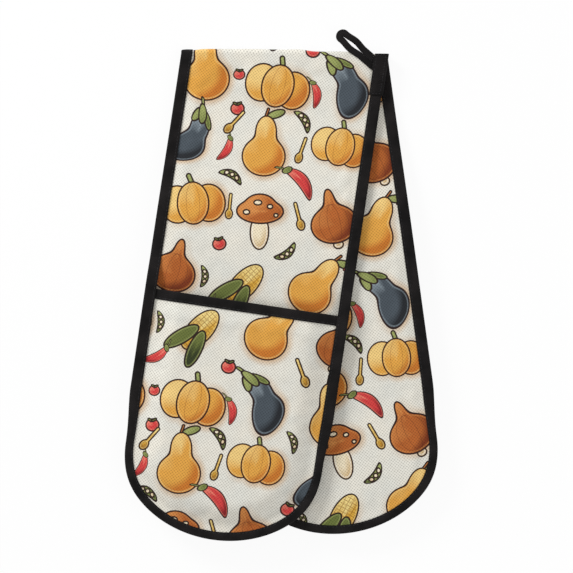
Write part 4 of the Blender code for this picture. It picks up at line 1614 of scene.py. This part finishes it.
def hairpin():
    """(reach, side, outward way, bend share) from the lower root round the tip to the upper root."""
    down = [LOOP_BEND_CENTRE * step / STRAND_STEPS for step in range(STRAND_STEPS)]
    stations = [(reach, -strand_offset(reach), (0, -1), 0) for reach in down]
    for step in range(BEND_STEPS + 1):
        angle = math.pi * step / BEND_STEPS
        way = (math.sin(angle), -math.cos(angle))
        reach = LOOP_BEND_CENTRE + LOOP_BEND_RADIUS * way[0]
        stations.append((reach, LOOP_BEND_RADIUS * way[1], way, math.sin(angle)))
    return stations + [(reach, strand_offset(reach), (0, 1), 0) for reach in reversed(down)]


def make_loop():
    sections = []
    for reach, side, way, bend in hairpin():
        share = ease(reach / LOOP_TAPER)
        low = between(LOOP_END_LOW, LOOP_LOW, share)
        high = low + between(LOOP_END_HIGH - LOOP_END_LOW, LOOP_THICKNESS, share)
        half = (LOOP_TAPE_WIDTH + 0.9 * LOOP_STRAND_GAP) / 2
        section = []
        for across, height in strand_section(-half, half + LOOP_TIP_EXTRA * bend, low, high):
            wave = 0.00015 * share * noise.noise(Vector((reach / 0.006, side / 0.004, across / 0.003)))
            section.append(loop_point(side + way[1] * across, reach + way[0] * across, height - abs(wave)))
        sections.append(section)
    loop = finish_piece(sweep(sections, closed_path=False), "hang_loop_dressed", LOOP_TAPE)
    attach(loop, "hang_loop")
    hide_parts("hang_loop")


def merge_into(bm, added):
    """Add one bmesh to another, and free the first."""
    spare = bpy.data.meshes.new("spare")
    added.to_mesh(spare)
    added.free()
    bm.from_mesh(spare)
    bpy.data.meshes.remove(spare)


def make_loop_ends():
    ends = bmesh.new()
    far = (LOOP_TAIL_INSET - LAP_WIDTH - LOOP_ROOT_STANDOFF) / INWARD_WAY.dot(LOOP_WAY)
    for side in (-1, 1):
        inner = side * LOOP_STRAND_GAP / 4
        outer = side * (LOOP_TAPE_WIDTH + LOOP_STRAND_GAP / 4)
        sections = []
        for step in range(9):
            section = []
            for across, height in strand_section(inner, outer, LOOP_END_LOW, LOOP_END_HIGH):
                start = on_hinge(across, -GAP / 6)
                place = Vector((LOOP_HINGE.x, LOOP_HINGE.y, LOOP_BASE + height))
                section.append(place + LOOP_SIDE * across + LOOP_WAY * (start + far * step / 8))
            sections.append(section)
        merge_into(ends, sweep(sections, closed_path=False))
    made = finish_piece(ends, "hang_loop_ends_dressed", LOOP_TAPE)
    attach(made, "front_half")
    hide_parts("hang_loop_ends")


make_loop()
make_loop_ends()
print("hang loop reaches", round(LOOP_LENGTH * 1000), "mm from the lap")

# %% [markdown]
# Every tape is held by one line of lockstitches that goes through both flanks, so the thread shows on both
# faces. One stitch is a tiny low-poly ball, drawn out along the seam, and the same stitch is laid again
# every three millimetres.

# %% Sew the stitches
STITCH_PITCH = 0.0030
STITCH_LENGTH = 0.0021
THREAD_THICKNESS = 0.00032
STITCH_BATCH = 30
STITCH_SIDES = 6
STITCH_RINGS = 5
MOUTH_STEPS = 90
LAP_SIDE_STEPS = 24


def lay_stitch(bm, here, ahead, up):
    """One stitch at a flat place, drawn out toward the place ahead of it and laid flat on the tape."""
    middle = wrap(here)
    middle.z = max(middle.z, THREAD_THICKNESS / 2)
    run = (wrap(ahead) - middle).normalized()
    rise = (wrap(here + Vector((0, 0, up))) - middle).normalized()
    turn = Matrix((run, rise.cross(run), rise)).transposed().to_4x4()
    stretch = Matrix.Diagonal((STITCH_LENGTH / 2, THREAD_THICKNESS / 2, THREAD_THICKNESS / 2, 1))
    placed = Matrix.Translation(middle) @ turn @ stretch
    bmesh.ops.create_uvsphere(
        bm, u_segments=STITCH_SIDES, v_segments=STITCH_RINGS, radius=1, matrix=placed
    )


def sew_line(bm, places, up):
    """Stitches at a steady pitch along flat places that lie close together, added in short batches."""
    travelled = STITCH_PITCH / 2
    batch, held = bmesh.new(), 0
    for index, (here, ahead) in enumerate(zip(places, places[1:])):
        travelled += (ahead - here).length
        if travelled >= STITCH_PITCH:
            travelled -= STITCH_PITCH
            lay_stitch(batch, here, ahead, up)
            held += 1
        if held == STITCH_BATCH or index == len(places) - 2:
            merge_into(bm, batch)
            batch, held = bmesh.new(), 0
    batch.free()


def edge_seam(half, upper):
    stations = side_stations(half, -1, True) + end_stations(half, -1) + side_stations(half, 1, False)
    places = []
    for station in stations:
        x, y, along = station_place(station, seam_inset(BINDING_WIDTH))
        lift = binding_top(half, along) if upper else HALF_GAP
        if abs(y) > (FOLD_RUN + STITCH_PITCH) / 2:
            places.append(Vector((x, y, lift)))
    return places


def mouth_seam(half, upper):
    mouth = mouth_of(half)
    places = []
    for step in range(MOUTH_STEPS + 1):
        across = between(-1, 1, step / MOUTH_STEPS) * (STRIP_WIDTH / 2 - BOUND_INSET)
        lifts = panel_lifts(half, STRIP_WIDTH / 2 - abs(across), mouth)
        x, y = spread(half, across, mouth + seam_inset(BAND_WIDTH))
        places.append(Vector((x, y, lifts[-1] + EDGE_INSET if upper else lifts[0] - EDGE_INSET)))
    return places


def lap_box():
    """The long box of stitches on the lap's upper face."""
    corners = [(LAP_SEAM, LAP_SEAM), (LAP_SEAM, LAP_LENGTH - LAP_SEAM)]
    corners += [(LAP_WIDTH - LAP_SEAM, LAP_LENGTH - LAP_SEAM), (LAP_WIDTH - LAP_SEAM, LAP_SEAM), corners[0]]
    step_start = lap_step_start()
    places = []
    for (inset, along), (next_inset, next_along) in zip(corners, corners[1:]):
        for step in range(LAP_SIDE_STEPS):
            here = between(inset, next_inset, step / LAP_SIDE_STEPS)
            down = between(along, next_along, step / LAP_SIDE_STEPS)
            across = STRIP_WIDTH / 2 - here
            x, y = spread(FRONT, across, skewed(FRONT, across, down))
            lift = lap_top(down, step_start) + lap_crease(here, down) - LAP_SEAM_DEPTH
            places.append(Vector((x, y, lift)))
    return places


for half in (FRONT, BACK):
    sewn = bmesh.new()
    for upper in (True, False):
        up = 1 if upper else -1
        sew_line(sewn, edge_seam(half, upper), up)
        sew_line(sewn, mouth_seam(half, upper), up)
    if half is FRONT:
        sew_line(sewn, lap_box(), 1)
    stitches = finish_piece(sewn, f"{half.name}_stitches", THREAD)
    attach(stitches, half.body)
    print(half.name, "stitches", len(stitches.data.polygons) // (STITCH_SIDES * STITCH_RINGS))

# %% [markdown]
# The glove lies on a plain white paper sweep. The paper itself is white and takes the glove's soft shadow.
# For what the camera sees directly, part of it is a plain glow of strength one, so the ground looks white
# as in the photograph while no more light falls on the glove.

# %% Lay it on white paper
floor_bm = bmesh.new()
bmesh.ops.create_grid(floor_bm, x_segments=1, y_segments=1, size=3.0)
bmesh.ops.translate(floor_bm, verts=floor_bm.verts, vec=(0, 0, -0.0005))
floor = new_object("white_paper_sweep", floor_bm)

PAPER = new_material("white_paper_sweep")
tree = PAPER.node_tree
path = add(tree, "ShaderNodeLightPath")
paper = add(tree, "ShaderNodeBsdfDiffuse", {"Color": (1, 1, 1, 1)}).outputs["BSDF"]
glow = add(tree, "ShaderNodeEmission", {"Color": (1, 1, 1, 1), "Strength": 1.0}).outputs["Emission"]
lit = add(tree, "ShaderNodeMixShader", {"Fac": 0.92, 1: paper, 2: glow}).outputs["Shader"]
shiny = {0: path.outputs["Is Glossy Ray"], 1: path.outputs["Is Transmission Ray"]}
shiny = add(tree, "ShaderNodeMath", shiny, operation="MAXIMUM").outputs["Value"]
watched = {0: path.outputs["Is Camera Ray"], 1: shiny}
watched = add(tree, "ShaderNodeMath", watched, operation="MAXIMUM").outputs["Value"]
seen = add(tree, "ShaderNodeMixShader", {"Fac": watched, 1: paper, 2: lit})
add(tree, "ShaderNodeOutputMaterial", {"Surface": seen.outputs["Shader"]})
floor.data.materials.append(PAPER)

# %% [markdown]
# Studio light for textiles is soft and plain, but one large lamp stands low at the upper left, so that the
# quilted surface shows its puckers. A weaker lamp fills the other side, and an even white world the rest.

# %% Light the studio
scene = bpy.context.scene
scene.view_settings.view_transform = "Standard"
world = bpy.data.worlds.new("studio")
scene.world = world
world.use_nodes = True
world.node_tree.nodes.clear()
sky = add(world.node_tree, "ShaderNodeBackground", {"Color": (1, 1, 1, 1), "Strength": 0.45})
add(world.node_tree, "ShaderNodeOutputWorld", {"Surface": sky.outputs["Background"]})


def softbox(name, place, size, power):
    lamp = bpy.data.lights.new(name, "AREA")
    lamp.shape = "SQUARE"
    lamp.size = size
    lamp.energy = power
    made = bpy.data.objects.new(name, lamp)
    bpy.context.collection.objects.link(made)
    made.location = place
    made.rotation_euler = (-Vector(place)).to_track_quat("-Z", "Y").to_euler()
    print(name, "at", place, power, "W")


softbox("key_softbox", (-1.6, 1.6, 1.2), 0.8, 45)
softbox("fill_softbox", (0.9, -0.6, 1.4), 1.2, 7.5)

# %% [markdown]
# The photograph is taken from straight above and far away, so the camera looks straight down from 2.4 metres
# with a lens that frames the same half metre of table.

# %% Place the camera
VIEW_WIDTH = 0.505
CAMERA_HEIGHT = 2.4
camera_data = bpy.data.cameras.new("camera")
camera_data.sensor_width = 36.0
camera_data.lens = 36.0 * (CAMERA_HEIGHT - FOLD.z) / VIEW_WIDTH
camera = bpy.data.objects.new("camera", camera_data)
bpy.context.collection.objects.link(camera)
camera.location = (0.0035, -0.0011, CAMERA_HEIGHT)
camera.rotation_euler = (0, 0, math.radians(0.35))
scene.camera = camera
print("lens", round(camera_data.lens, 1), "mm")
